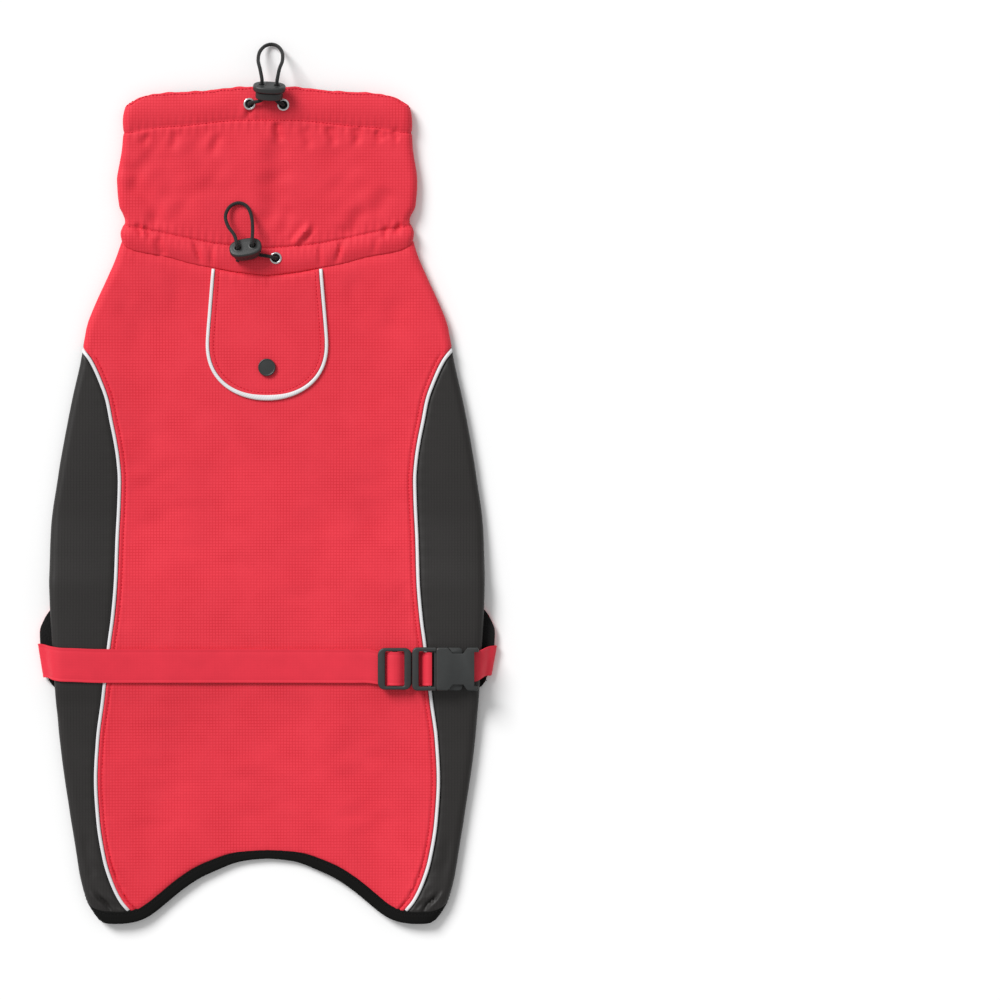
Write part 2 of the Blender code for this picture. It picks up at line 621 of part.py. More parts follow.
def build_collar():
    columns = [("top", s) for s in steps(COLLAR_STEPS)] + [("fold", s) for s in FOLD_SHARES]
    columns += [("wing", s) for s in (0.33, 0.66, 1.0)]
    grid = []
    for kind, share in columns:
        column = []
        nominal = fold_start(520.0)
        if kind == "top":
            spot = share * nominal
        elif kind == "fold":
            spot = nominal + share * FOLD_ROUND
        else:
            spot = nominal + FOLD_ROUND + share * (nominal - THROAT_HALF)
        for along in collar_marks(spot):
            start = fold_start(along)
            if kind == "top":
                column.append((share * start, along))
            elif kind == "fold":
                column.append((start + share * FOLD_ROUND, along))
            else:
                column.append((under(mix(start, THROAT_HALF + GAP, share), along), along))
        grid.append(column)
    rows = [mirrored([column[j] for column in grid]) for j in range(len(grid[0]))]

    def near(round_, along):
        return channel_depth(round_, along) if abs(round_) < fold_start(along) + FOLD_ROUND / 2 else 0.0

    wall("collar", rows, place, near, COLLAR_WALL, "red_shell")


def build_throat_panel():
    rows = []
    for share in (0.0, 0.06, 0.12, 0.4, 0.7, 0.92, 1.0):
        pinch = math.exp(-((share - THROAT_PINCH_SHARE) / THROAT_PINCH_REACH) ** 2)
        half = THROAT_HALF - THROAT_PINCH * pinch
        row = []
        for t in steps(7):
            spot = abs(under(t * THROAT_HALF, 500.0))
            along = mix(smooth(NECK_SEAM, spot) + GAP, smooth(COLLAR_TOP, spot), share)
            row.append((t * (half - GAP), along))
        rows.append(mirrored(row))
    wall("throat_panel", rows, lay_under, 0.0, THROAT_WALL, "black_fleece")


def chest_row(row, shares):
    centre, half, edge = row
    return [(share * half, mix(centre, edge, share * share)) for share in shares]


CHEST_SHARES = (0.0, 0.22, 0.44, 0.64, 0.78, 0.87, 0.93, 1.0)


def build_chest_panel():
    rows = [mirrored(chest_row(row, CHEST_SHARES)) for row in CHEST_ROWS]
    wall("chest_panel", rows, lay_under, 0.0, SHELL, "red_shell")


def build_belly_lining():
    rows = [mirrored(chest_row(row, CHEST_SHARES)) for row in CHEST_ROWS[14:]]
    depth = SHELL + BELLY_LINING_GAP
    wall("belly_lining", rows, lay_under, depth, depth + BELLY_LINING, "black_fleece")


def build_flap():
    shares = steps(7)
    bottom = []
    for share in shares:
        turn = share * math.pi / 2
        bottom.append((FLAP_HALF * math.sin(turn), FLAP_SHOULDER - FLAP_DROP * math.cos(turn) ** FLAP_ROUNDNESS))
    rows = []
    for step in (0.0, 0.4, 0.8):
        row = []
        for share in shares:
            top = smooth(NECK_SEAM, share * FLAP_TOP_HALF) - 0.6
            half = mix(FLAP_TOP_HALF, FLAP_HALF, step)
            row.append((share * half, mix(top, FLAP_SHOULDER, step)))
        rows.append(mirrored(row))
    straight = [(share * FLAP_HALF, FLAP_SHOULDER + 2.0) for share in shares]
    for step in (0.0, 0.3, 0.65, 1.0):
        row = [(mix(a[0], b[0], step), mix(a[1], b[1], step)) for a, b in zip(straight, bottom)]
        rows.append(mirrored(row))
    wall("leash_flap", rows, place, -GAP - FLAP_THICK, -GAP, "red_shell")


def flap_outline(count):
    """Right edge of the cover from the neck seam down, round the bottom and up the left edge."""
    side = [(mix(FLAP_TOP_HALF, FLAP_HALF, t), mix(smooth(NECK_SEAM, FLAP_TOP_HALF) - 0.8, FLAP_SHOULDER, t))
            for t in steps(4)]
    turns = [math.radians(90 - 90 * t) for t in steps(count)[1:]]
    bottom = [(FLAP_HALF * math.sin(a), FLAP_SHOULDER - FLAP_DROP * math.cos(a) ** FLAP_ROUNDNESS) for a in turns]
    right = side + bottom
    return right + [(-x, y) for x, y in reversed(right[:-1])]


def build_pipings():
    strip("flap_piping", flap_outline(9), PIPING_WIDTH, place, -GAP - FLAP_PIPING_THICK, -GAP,
          "reflective_piping")
    path = piping_path()
    rows = [across_path(path, offset, place) for offset in (GAP, GAP + PIPING_WIDTH)]
    for row in rows:
        row[-1] = tuple(mix(a, b, PIPING_END_TRIM) for a, b in zip(row[-1], row[-2]))
    wall("piping_right", rows, place, -PIPING_RISE, SHELL, "reflective_piping")
    rows = [[(-u, v) for u, v in reversed(row)] for row in rows]
    wall("piping_left", rows, place, -PIPING_RISE, SHELL, "reflective_piping")


def leg_path():
    """Cut edge round the right leg hole, from the chest strip round the fold and down the flank."""
    path = [yoke_spot(share, smooth(YOKE_EDGE, share)) for share in (0.09,) + YOKE_SHARES[-2::-1]]
    for share in (1.0, 0.8, 0.6):
        along = smooth(SHOULDER_EDGE, share)
        path.append((fold_start(along) + share * FOLD_ROUND, along))
    return path + [row[-1] for row in side_rows() if row[-1][1] > BAND_MIDDLE]


def hem_path():
    """Cut edge round the tail opening, from under the belly band on the right to the one on the left."""
    rows = side_rows()
    right = [row[-1] for row in rows[:-1] if row[-1][1] < BAND_MIDDLE] + list(reversed(rows[-1]))
    right += list(reversed(back_hem_spots()))
    return right + [(-u, v) for u, v in reversed(right[:-1])]


def build_bindings():
    leg = leg_path()
    mirrored_leg = [(-u, v) for u, v in reversed(leg)]
    width = BINDING_WIDTH - BINDING_GAP
    edging("leg_binding_right", leg, width, place, 0.0, BINDING_THICK, "black_binding", BINDING_GAP)
    edging("leg_binding_left", mirrored_leg, width, place, 0.0, BINDING_THICK, "black_binding", BINDING_GAP)
    whole = hem_path()
    rows = [[across_path(whole, BINDING_GAP + share * hem_width(spot), place)[index]
             for index, spot in enumerate(whole)] for share in (0.0, 0.5, 1.0)]
    wall("hem_binding", rows, place, hem_rise, hem_depth, "black_binding")

    edge = [(half, along) for _, half, along in CHEST_ROWS[2:17]]
    strip("chest_binding_right", edge, CHEST_BINDING_WIDTH, lay_under, 0.0, BINDING_THICK, "black_binding")
    edge = [(-u, v) for u, v in reversed(edge)]
    strip("chest_binding_left", edge, CHEST_BINDING_WIDTH, lay_under, 0.0, BINDING_THICK, "black_binding")
    lower = mirrored(chest_row(CHEST_ROWS[-1], CHEST_SHARES))
    strip("belly_binding", list(reversed(lower)), BELLY_BINDING_WIDTH, lay_under, 0.0, BINDING_THICK,
          "black_binding")


def hem_width(spot):
    """The hem binding is narrower in the middle of the arch."""
    return mix(HEM_BINDING_MIDDLE, HEM_BINDING_WIDTH, ease(abs(spot[0]) / 45.0))


def hem_rise(round_, along):
    """The hem binding stands a little proud on top, and is level with the cloth on the underside."""
    return -HEM_BINDING_RISE * (1.0 - ease((abs(round_) - 108.0) / 12.0))


def hem_depth(round_, along):
    """Over the top the binding holds shell and lining, on the underside the shell alone."""
    return mix(SHELL + LINING_GAP + LINING, BINDING_THICK, ease((abs(round_) - 112.0) / 12.0))


def build_leg_loops():
    for name, side in (("leg_loop_left", -1), ("leg_loop_right", 1)):
        top = Vector((side * LOOP_TOP[0], LOOP_TOP[1]))
        foot = Vector((side * LOOP_FOOT[0], LOOP_FOOT[1]))
        path = [tuple(top.lerp(foot, t)) for t in steps(16)]
        edging(name, path, LOOP_WIDTH, loop_form, 0.0, LOOP_THICK, "black_elastic", first_gap=-LOOP_WIDTH / 2)


def loop_form(x, along, depth):
    """The hind-leg loops rest on the surface and rise over the flank's binding, where they are sewn."""
    rise = LOOP_RISE * ease((abs(x) - LOOP_RISE_START) / LOOP_RISE_RUN)
    return Vector((x, along - ORIGIN_ALONG, depth + rise))


def strap_wall(name, path, width):
    """Strap of constant thickness along a side-on path of (x, height of its middle, along, slant)."""
    bm = bmesh.new()
    rings = []
    for index, (x, z, along, slant) in enumerate(path):
        ahead = path[min(index + 1, len(path) - 1)]
        behind = path[max(index - 1, 0)]
        run = Vector((ahead[0] - behind[0], 0.0, ahead[1] - behind[1])).normalized()
        up = Vector((-run.z, 0.0, run.x)) * (STRAP_THICK / 2)
        ring = []
        for lift, across in ((1, -1), (1, 1), (-1, 1), (-1, -1)):
            spot = Vector((x + slant * across, along - ORIGIN_ALONG + across * width / 2, z))
            ring.append(bm.verts.new(spot + up * lift))
        rings.append(ring)
    for a, b in zip(rings, rings[1:]):
        for i in range(4):
            bm.faces.new((a[i], a[(i + 1) % 4], b[(i + 1) % 4], b[i]))
    bm.faces.new(rings[0])
    bm.faces.new(rings[-1])
    return finish_mesh(name, bm, "red_strap")


def belt_end(side, rise):
    """Path of a belt's end on one side, from the tab to where it lies on the back."""
    spots = list(TAB)
    reach = TURN_HEIGHT - STRAP_THICK / 2
    for degrees in (-60, -25, 15, 55, 90):
        turn = math.radians(degrees)
        spots.append((TURN_X + TURN_REACH * math.cos(turn), TURN_HEIGHT + reach * math.sin(turn),
                      TURN_ALONG, TURN_SLANT))
    return [(side * x, z, along, side * slant) for x, z, along, slant in spots + list(rise)]


def over_back(x):
    """Place of the long belt where it lies over the back: it falls a little towards the slider."""
    height = top_height(x, BELT_ALONG) + BELT_CLEAR + STRAP_THICK / 2
    along = BELT_ALONG + 1.0 * ease((-x - 112.0) / 32.0) - 0.9 * ease((x + 60.0) / 120.0)
    return (x, height, along, 0.0)


def build_belt():
    left = belt_end(-1, RISE_LEFT)
    left += [over_back(x) for x in (-142.0, -132.0, -120.0, -105.0, -88.0, -70.0, -50.0, -25.0, 0.0, 25.0, 45.0,
                                    60.0, 70.0)]
    low = SLIDER_BASE + STRAP_THICK / 2
    high = low + 2.6
    base = BUCKLE_BASE + STRAP_THICK / 2
    weave = ((77.5, low), (82.0, low), (84.6, low + 1.5), (86.8, high), (90.8, high), (93.0, low + 1.5),
             (95.6, low), (100.0, low + 0.3), (103.4, base), (106.6, base + 0.4), (109.0, base + 2.6),
             (111.6, base + 4.4), (114.6, base + 4.4))
    left += [(x, z, SLIDER_ALONG, 0.0) for x, z in weave]
    strap_wall("belt_left", left, STRAP_WIDTH)
    strap_wall("belt_right", belt_end(1, RISE_RIGHT), RIGHT_STRAP_WIDTH)


# ---------------------------------------------------------------- hard pieces
def cutter(name, bm):
    """Hidden mesh that a Boolean cuts away or joins on."""
    made = finish_mesh(name, bm, "black_plastic", rounded=False)
    made.hide_render = True
    made.display_type = "WIRE"
    return made


def combine(target, tool, operation):
    change = target.modifiers.new(tool.name, "BOOLEAN")
    change.operation = operation
    change.solver = "EXACT"
    change.object = tool


def cut(target, tool):
    combine(target, tool, "DIFFERENCE")


def join(target, tool):
    combine(target, tool, "UNION")


def block_mesh(low, high, round_off=0.0):
    """Box between two corners, in millimetres, with its edges bevelled."""
    bm = bmesh.new()
    bmesh.ops.create_cube(bm, size=1.0)
    size = Vector(high) - Vector(low)
    middle = (Vector(high) + Vector(low)) / 2
    bmesh.ops.scale(bm, vec=size, verts=bm.verts)
    bmesh.ops.translate(bm, vec=middle, verts=bm.verts)
    if round_off:
        bmesh.ops.bevel(bm, geom=list(bm.edges), offset=round_off, segments=1, affect="EDGES")
    return bm


def prism_mesh(outline, low, high, chamfer=0.0):
    """Upright prism over a plan outline, its rims chamfered."""
    centre = Vector((sum(p[0] for p in outline) / len(outline), sum(p[1] for p in outline) / len(outline)))
    bm = bmesh.new()
    levels = [(low, chamfer), (low + chamfer, 0.0), (high - chamfer, 0.0), (high, chamfer)] if chamfer else [
        (low, 0.0), (high, 0.0)]
    rings = []
    for z, inset in levels:
        ring = []
        for x, y in outline:
            way = Vector((x, y)) - centre
            point = centre + way * (1.0 - inset / way.length)
            ring.append(bm.verts.new((point.x, point.y, z)))
        rings.append(ring)
    for a, b in zip(rings, rings[1:]):
        for i in range(len(outline)):
            j = (i + 1) % len(outline)
            bm.faces.new((a[i], a[j], b[j], b[i]))
    bm.faces.new(list(reversed(rings[0])))
    bm.faces.new(rings[-1])
    return bm


def rounded_plan(x0, y0, x1, y1, radius, per_corner=4):
    """Plan outline of a rectangle with round corners."""
    corners = ((x1 - radius, y1 - radius, 0), (x0 + radius, y1 - radius, 90), (x0 + radius, y0 + radius, 180),
               (x1 - radius, y0 + radius, 270))
    outline = []
    for cx, cy, start in corners:
        for t in steps(per_corner):
            angle = math.radians(start + 90 * t)
            outline.append((cx + radius * math.cos(angle), cy + radius * math.sin(angle)))
    return outline


def oval_plan(long_, short, count=24, power=2.5):
    """Plan outline of a full oval."""
    outline = []
    for i in range(count):
        angle = 2 * math.pi * i / count
        c, s = math.cos(angle), math.sin(angle)
        outline.append((math.copysign(abs(c) ** (2 / power), c) * long_ / 2,
                        math.copysign(abs(s) ** (2 / power), s) * short / 2))
    return outline


def build_slider():
    length, width, thick = SLIDER_SIZE
    y = SLIDER_ALONG - ORIGIN_ALONG
    low = SLIDER_BASE + STRAP_THICK + SLIDER_CLEAR
    outer = rounded_plan(SLIDER_X - length / 2, y - width / 2, SLIDER_X + length / 2, y + width / 2,
                         SLIDER_CORNER)
    frame = finish_mesh("slider", prism_mesh(outer, low, low + thick, 0.6), "black_plastic")
    half_x, half_y = SLIDER_WINDOW
    window = rounded_plan(SLIDER_X - half_x, y - half_y, SLIDER_X + half_x, y + half_y, 0.8)
    cut(frame, cutter("slider_window", prism_mesh(window, low - 2, low + thick + 2)))
    half_x, half_y = SLIDER_BAR
    bar = block_mesh((SLIDER_X - half_x, y - half_y, SLIDER_BASE + 0.5),
                     (SLIDER_X + half_x, y + half_y, low + 0.35), 0.4)
    join(frame, cutter("slider_bar", bar))


def buckle_box(x0, x1, half, low, high):
    """Box across the buckle's middle line, its heights above the buckle's underside."""
    y = BUCKLE_ALONG - ORIGIN_ALONG
    return block_mesh((x0, y - half, BUCKLE_BASE + low), (x1, y + half, BUCKLE_BASE + high))


def mirrored_plan(outline, side):
    """Plan outline of (x, distance from the buckle's middle) on one side, counter-clockwise."""
    y = BUCKLE_ALONG - ORIGIN_ALONG
    placed = [(x, y + side * off) for x, off in outline]
    return placed if side > 0 else placed[::-1]


# plan of one sprung arm with the pad that shows in the body's notch, and of that notch
ARM = (
    (121.5, 8.6), (133.0, 9.2), (135.2, 10.4), (135.8, 12.2), (135.0, 14.0), (133.4, 14.8), (126.1, 14.8),
    (128.2, 12.3), (121.5, 11.9),
)
NOTCH = ((129.1, 10.8), (136.2, 10.8), (141.0, 17.0), (123.5, 17.0))
ARM_LOW = 2.4
ARM_HIGH = 5.2
EAR_INNER = 11.8              # the short belt enters between the body's ears
EAR_START = 143.9


def build_buckle_male():
    """Frame with the belt's window, a foot inside the body, and two sprung arms with pads at the sides."""
    y = BUCKLE_ALONG - ORIGIN_ALONG
    half = BUCKLE_WIDTH / 2
    low, high = BUCKLE_BASE + STRAP_THICK + 0.4, BUCKLE_BASE + BUCKLE_THICK - 0.8
    frame = finish_mesh("buckle_male", prism_mesh(
        rounded_plan(BUCKLE_X0, y - half, BUCKLE_MEET + 6.0, y + half, BUCKLE_CORNER), low, high, 0.5),
        "black_plastic")
    start, reach = FRAME_WINDOW
    cut(frame, cutter("male_window", prism_mesh(
        rounded_plan(BUCKLE_X0 + start, y - reach, BUCKLE_MEET + 3.0, y + reach, 1.0), low - 3, high + 3)))
    cut(frame, cutter("male_end", buckle_box(BUCKLE_MEET - GAP, BUCKLE_MEET + 9.0, half + 2, -3.0, 12.0)))
    pieces = [buckle_box(BUCKLE_MEET - 1.4, BUCKLE_MEET - GAP, 13.6, ARM_LOW, ARM_HIGH),
              buckle_box(BUCKLE_MEET - 1.0, 122.4, 12.2, ARM_LOW, ARM_HIGH),
              buckle_box(121.0, 134.0, 3.6, ARM_LOW, ARM_HIGH)]
    pieces += [prism_mesh(mirrored_plan(ARM, side), BUCKLE_BASE + ARM_LOW, BUCKLE_BASE + ARM_HIGH)
               for side in (-1, 1)]
    for index, piece in enumerate(pieces):
        join(frame, cutter("male_piece_%d" % index, piece))


def build_buckle_female():
    """Hollow body with a notch at each side for the arms' pads, and two ears at the short belt's end."""
    y = BUCKLE_ALONG - ORIGIN_ALONG
    half = BUCKLE_WIDTH / 2
    plan = rounded_plan(BUCKLE_MEET, y - half, BUCKLE_X1, y + half, BODY_CORNER)
    body = finish_mesh("buckle_female", prism_mesh(plan, BUCKLE_BASE, BUCKLE_BASE + BUCKLE_THICK, 0.7),
                       "black_plastic")
    cut(body, cutter("female_hollow", buckle_box(BUCKLE_MEET - 2.0, 136.5, 12.6, 2.0, 5.6)))
    for side in (-1, 1):
        cut(body, cutter("female_notch_%d" % side, prism_mesh(
            mirrored_plan(NOTCH, side), BUCKLE_BASE - 2, BUCKLE_BASE + 12)))
    cut(body, cutter("female_mouth", buckle_box(EAR_START, BUCKLE_X1 + 3.0, EAR_INNER, -2.0, 12.0)))
    cut(body, cutter("female_strap_room", buckle_box(138.0, BUCKLE_X1 + 3.0, 12.6, -2.0, 1.9)))


def build_snap():
    height = top_height(0.0, SNAP_ALONG) + GAP + FLAP_THICK + GAP
    bm = bmesh.new()
    spin_rings(bm, SNAP_PROFILE, SNAP_SIDES, Vector((0.0, SNAP_ALONG - ORIGIN_ALONG, height)))
    finish_mesh("snap_cap", bm, "black_plastic")


def spin_rings(bm, profile, count, base):
    """Solid of revolution about an upright axis; the profile starts and ends on the axis."""
    rings = []
    for radius, z in profile:
        if radius == 0.0:
            rings.append([bm.verts.new(base + Vector((0.0, 0.0, z)))])
            continue
        rings.append([bm.verts.new(base + Vector((radius * math.cos(2 * math.pi * i / count),
                                                  radius * math.sin(2 * math.pi * i / count), z)))
                      for i in range(count)])
    for a, b in zip(rings, rings[1:]):
        for i in range(count):
            j = (i + 1) % count
            quad = [a[i % len(a)], a[j % len(a)], b[j % len(b)], b[i % len(b)]]
            unique = []
            for vert in quad:
                if vert not in unique:
                    unique.append(vert)
            bm.faces.new(unique)


def eyelet_base(name):
    """Middle of an eyelet's underside, on the channel of the collar."""
    x, along = EYELETS[name]
    return place(x, along, -EYELET_LIFT - GAP)


def build_eyelets():
    count = EYELET_SIDES
    for name in EYELETS:
        base = eyelet_base(name)
        profile = ((EYELET_HOLE, 0.0), (EYELET_OUTER, 0.0), (EYELET_OUTER - 0.2, 0.6),
                   ((EYELET_OUTER + EYELET_HOLE) / 2, EYELET_HEIGHT), (EYELET_HOLE + 0.1, 0.6))
        bm = bmesh.new()
        rings = [[bm.verts.new(base + Vector((radius * math.cos(2 * math.pi * i / count),
                                              radius * math.sin(2 * math.pi * i / count), z)))
                  for i in range(count)] for radius, z in profile]
        for a, b in zip(rings, rings[1:] + rings[:1]):
            for i in range(count):
                j = (i + 1) % count
                bm.faces.new((a[i], a[j], b[j], b[i]))
        finish_mesh(name, bm, "eyelet_metal")


# middle of each lock's upper face (x, along, height), lean towards the neck and turn about the upright
LOCKS = {
    "upper": {"face": (2.3, 580.8, 20.6), "lean": 62.0, "turn": -3.0},
    "lower": {"face": (-14.4, 468.9, 21.6), "lean": 27.0, "turn": 10.0},
}


def lock_frame(which):
    """Placement of a lock: its local Z is the way the cord leaves, its local X its long side."""
    spot = LOCKS[which]
    x, along, height = spot["face"]
    turn = Matrix.Rotation(math.radians(spot["turn"]), 4, "Z")
    lean = Matrix.Rotation(math.radians(-spot["lean"]), 4, "X")
    return Matrix.Translation((x, along - ORIGIN_ALONG, height)) @ turn @ lean


def build_lock(which):
    frame = lock_frame(which)
    levels = {"body": (LOCK_LONG, LOCK_SHORT, -LOCK_CAP, 0.0),
              "button": (BUTTON_LONG, BUTTON_SHORT, -LOCK_CAP - GAP - BUTTON_HEIGHT, -LOCK_CAP - GAP)}
    for part, (long_, short, low, high) in levels.items():
        name = "%s_lock_%s" % (which, part)
        bm = prism_mesh(oval_plan(long_, short), low, high, LOCK_CHAMFER)
        bmesh.ops.transform(bm, matrix=frame, verts=bm.verts)
        solid = finish_mesh(name, bm, "black_plastic")
        for side in (-1, 1):
            hole = bmesh.new()
            bmesh.ops.create_cone(hole, cap_ends=True, segments=LOCK_HOLE_SIDES, radius1=LOCK_HOLE / 2,
                                  radius2=LOCK_HOLE / 2, depth=30.0)
            bmesh.ops.translate(hole, vec=(side * LOCK_HOLE_APART / 2, 0.0, -5.0), verts=hole.verts)
            bmesh.ops.transform(hole, matrix=frame, verts=hole.verts)
            cut(solid, cutter("%s_hole_%d" % (name, side), hole))


def through_lock(which, side):
    """Points of the cord through one hole of a lock, from below to above."""
    frame = lock_frame(which)
    return [frame @ Vector((side * LOCK_HOLE_APART / 2, 0.0, z)) for z in (-12.0, -8.0, -3.0, 1.0, 3.6)]


# hand-placed points of the cords outside their locks: (x, along, height)
LOOPS = {
    "upper": ((-4.2, 591.6, 20.4), (-5.8, 598.0, 14.6), (-5.2, 604.4, 8.2), (-2.0, 609.0, 3.4), (2.6, 610.6, 1.8),
              (7.2, 609.0, 3.4), (10.4, 604.4, 8.2), (11.0, 598.0, 14.6), (9.2, 591.6, 20.4)),
    "lower": ((-21.8, 476.5, 22.0), (-26.6, 483.4, 18.6), (-28.4, 490.6, 15.0), (-25.4, 497.0, 12.6),
              (-19.4, 499.6, 12.0), (-13.6, 497.0, 12.8), (-10.4, 490.0, 15.4), (-9.4, 481.0, 19.4)),
}


def cord_route(which):
    """Route of a drawcord: out of an eyelet, through the lock, round the loop and back."""
    loop = [Vector((x, along - ORIGIN_ALONG, z)) for x, along, z in LOOPS[which]]
    first, last = through_lock(which, -1), through_lock(which, 1)
    if which == "upper":
        start, end = eyelet_base("eyelet_upper_left"), eyelet_base("eyelet_upper_right")
        rise = [start + Vector((0.0, 0.0, 0.6)), start + Vector((0.9, 0.6, 2.9))]
        fall = [end + Vector((-0.9, 0.6, 2.9)), end + Vector((0.0, 0.0, 0.6))]
    else:
        end = eyelet_base("eyelet_lower")
        rise = [place(-20.4, 459.0, -2.6), place(-19.8, 462.0, -3.2)]
        fall = [end + Vector((-3.8, 0.8, 3.6)), end + Vector((-0.9, 0.1, 2.7)), end + Vector((0.3, 0.0, 0.6))]
    return rise + first + loop + list(reversed(last)) + fall


def smooth_route(points, spacing):
    """Evenly spaced points on a smooth curve through the route's own points."""
    dense = []
    for index in range(len(points) - 1):
        p0 = points[max(index - 1, 0)]
        p1, p2 = points[index], points[index + 1]
        p3 = points[min(index + 2, len(points) - 1)]
        d1 = max((p1 - p0).length, 1e-6) ** 0.5
        d2 = max((p2 - p1).length, 1e-6) ** 0.5
        d3 = max((p3 - p2).length, 1e-6) ** 0.5
        m1 = (p2 - p0) * (d2 / (d1 + d2)) if index else (p2 - p1)
        m2 = (p3 - p1) * (d2 / (d2 + d3)) if index < len(points) - 2 else (p2 - p1)
        for t in steps(12)[:-1]:
            dense.append((2 * t ** 3 - 3 * t ** 2 + 1) * p1 + (t ** 3 - 2 * t ** 2 + t) * m1
                         + (3 * t ** 2 - 2 * t ** 3) * p2 + (t ** 3 - t ** 2) * m2)
    dense.append(points[-1])
    total = sum((b - a).length for a, b in zip(dense, dense[1:]))
    count = round(total / spacing)
    result, travelled, wanted = [dense[0]], 0.0, total / count
    for a, b in zip(dense, dense[1:]):
        length = (b - a).length
        while travelled + length >= wanted * len(result) and len(result) < count:
            result.append(a.lerp(b, (wanted * len(result) - travelled) / length))
        travelled += length
    return result + [dense[-1]]


def build_cord(which):
    route = smooth_route(cord_route(which), 2.4 * CORD_DIAMETER)
    curve = bpy.data.curves.new(which + "_cord", "CURVE")
    curve.dimensions = "3D"
    spline = curve.splines.new("POLY")
    spline.points.add(len(route) - 1)
    for target, point in zip(spline.points, route):
        target.co = (*(point * MM), 1.0)
    curve.bevel_depth = CORD_DIAMETER / 2 * MM
    curve.bevel_resolution = 2
    curve.use_fill_caps = True
    add_object(which + "_cord", curve, "black_elastic")


def main():
    for old in list(bpy.data.objects):
        bpy.data.objects.remove(old, do_unlink=True)
    build_back_panel()
    build_side_panel("side_panel_left", -1)
    build_side_panel("side_panel_right", 1)
    build_back_lining()
    build_collar()
    build_throat_panel()
    build_chest_panel()
    build_belly_lining()
    build_flap()
    build_pipings()
    build_bindings()
    build_leg_loops()
    build_belt()
    build_slider()
    build_buckle_male()
    build_buckle_female()
    build_snap()
    build_eyelets()
    for which in LOCKS:
        build_lock(which)
        build_cord(which)


main()
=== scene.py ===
"""Dog raincoat laid flat with its back up: the look of its cloth, trim and hard pieces.

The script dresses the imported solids.  Every piece is made again in finer mesh on the same form as its solid
and stands for it: thin cloth with its seams, gathers and creases, rounded piping and bindings, stitches,
moulded buckle, slider and cord locks, and the elastic cords.

The garment is a flattened tube.  A point of its cloth has a place round the tube ("round", in mm from the
middle of the back, positive to the right) and a place along it ("along", in mm from the lowest point of the
hem towards the neck).  place() turns both, with a depth under the outer skin, into a point in space.
Lengths in the tables are millimetres; everything handed to Blender is metres.
"""
from math import ceil, cos, hypot, pi, radians, sin

import bmesh
import bpy
import numpy as np
from bpy.props import FloatProperty, FloatVectorProperty, PointerProperty
from bpy.types import Operator
from mathutils import Matrix, Vector


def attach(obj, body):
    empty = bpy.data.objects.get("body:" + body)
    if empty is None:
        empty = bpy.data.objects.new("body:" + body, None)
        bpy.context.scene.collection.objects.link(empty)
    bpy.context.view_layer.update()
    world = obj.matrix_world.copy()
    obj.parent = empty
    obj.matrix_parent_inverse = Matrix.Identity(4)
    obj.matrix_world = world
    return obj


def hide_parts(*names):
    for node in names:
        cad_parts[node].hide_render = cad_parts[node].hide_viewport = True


bl_info = {
    "name": "Dog raincoat",
    "version": (1, 0, 0),
    "blender": (4, 5, 0),
    "location": "3D View > Sidebar > Raincoat",
    "description": "Makes the pieces of a dog raincoat that lies flat",
    "category": "Object",
}

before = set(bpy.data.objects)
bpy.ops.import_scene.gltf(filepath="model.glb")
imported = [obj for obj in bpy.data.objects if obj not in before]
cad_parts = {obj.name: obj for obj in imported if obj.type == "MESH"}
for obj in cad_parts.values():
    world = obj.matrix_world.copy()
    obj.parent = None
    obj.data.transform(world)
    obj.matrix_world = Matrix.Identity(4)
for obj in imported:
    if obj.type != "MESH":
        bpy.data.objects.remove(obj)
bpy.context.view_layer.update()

MM = 0.001
# ---- driving dimensions (millimetres)
LENGTH = 583.8  # lowest point of the hem to the top of the upper cord lock
FOLD_REACH = 5.5  # how far the side fold rounds off beyond the flat top
FOLD_ROUND = 16.5  # length of cloth in one side fold
SHELL = 1.8  # thickness of the outer cloth
LINING = 1.2  # thickness of the fleece
GAP = 0.3  # kept between pieces
BELLY_LINING = 1
BELLY_LINING_GAP = 0.5
LINING_GAP = 0.6  # between shell and lining, which have different folds
COLLAR_WALL = 3  # double cloth of the collar
COLLAR_STITCH_DEPTH = 0.5  # its stitch lines lie this deep, and between them it stands proud by:
LOWER_CHANNEL_RISE = 1.75
UPPER_CHANNEL_RISE = 1.6
COLLAR_MIDDLE_RISE = 0.7
COLLAR_EDGE_FALL = 0.3  # at the upper edge
THROAT_WALL = 3
THROAT_PINCH = 0.6  # gathered in by the lower cord, at this share of its length:
THROAT_PINCH_SHARE = 0.07
THROAT_PINCH_REACH = 0.08
PIPING_WIDTH = 2.4
PIPING_RISE = 0.5  # proud of the cloth beside it
FLAP_PIPING_THICK = 1.6
BINDING_WIDTH = 8.5  # with the gap to the cloth
HEM_BINDING_WIDTH = 7.3
HEM_BINDING_MIDDLE = 5.2  # in the middle of the arch, where it rolls under
CHEST_BINDING_WIDTH = 6.2
BELLY_BINDING_WIDTH = 9.6
BINDING_THICK = 2.4
HEM_BINDING_RISE = 0.15  # proud of the cloth on top
BINDING_GAP = 0.8  # bindings turn corners, where cloth and binding come closer
BAND_STACK = 4.3  # belly band with its lining, as it lifts the side panels
TAB_LIFT = 1.5  # the belt's tabs lift the band's ends
TAB_LIFT_START = 124  # distance from the middle where that lift starts
TAB_LIFT_RAMP = 14
TAB_LIFT_REACH = 36.5  # and how far it reaches along, each way from the belt
TAB_LIFT_FALL = 17  # of which it falls off over this
LIFT_RAMP = 9
BAND_MIDDLE = 200  # along, where leg and hem bindings meet, out of sight over the belly band
STRAP_THICK = 1.2
BELT_CLEAR = 0.9  # the belt passes over the piping
YOKE_INNER = 35.3  # half width of the chest strip at the neck, where the yokes begin
THROAT_HALF = 68.5
FLANK_INSET = 0.6  # the side panel's edge keeps to the underside of the fold
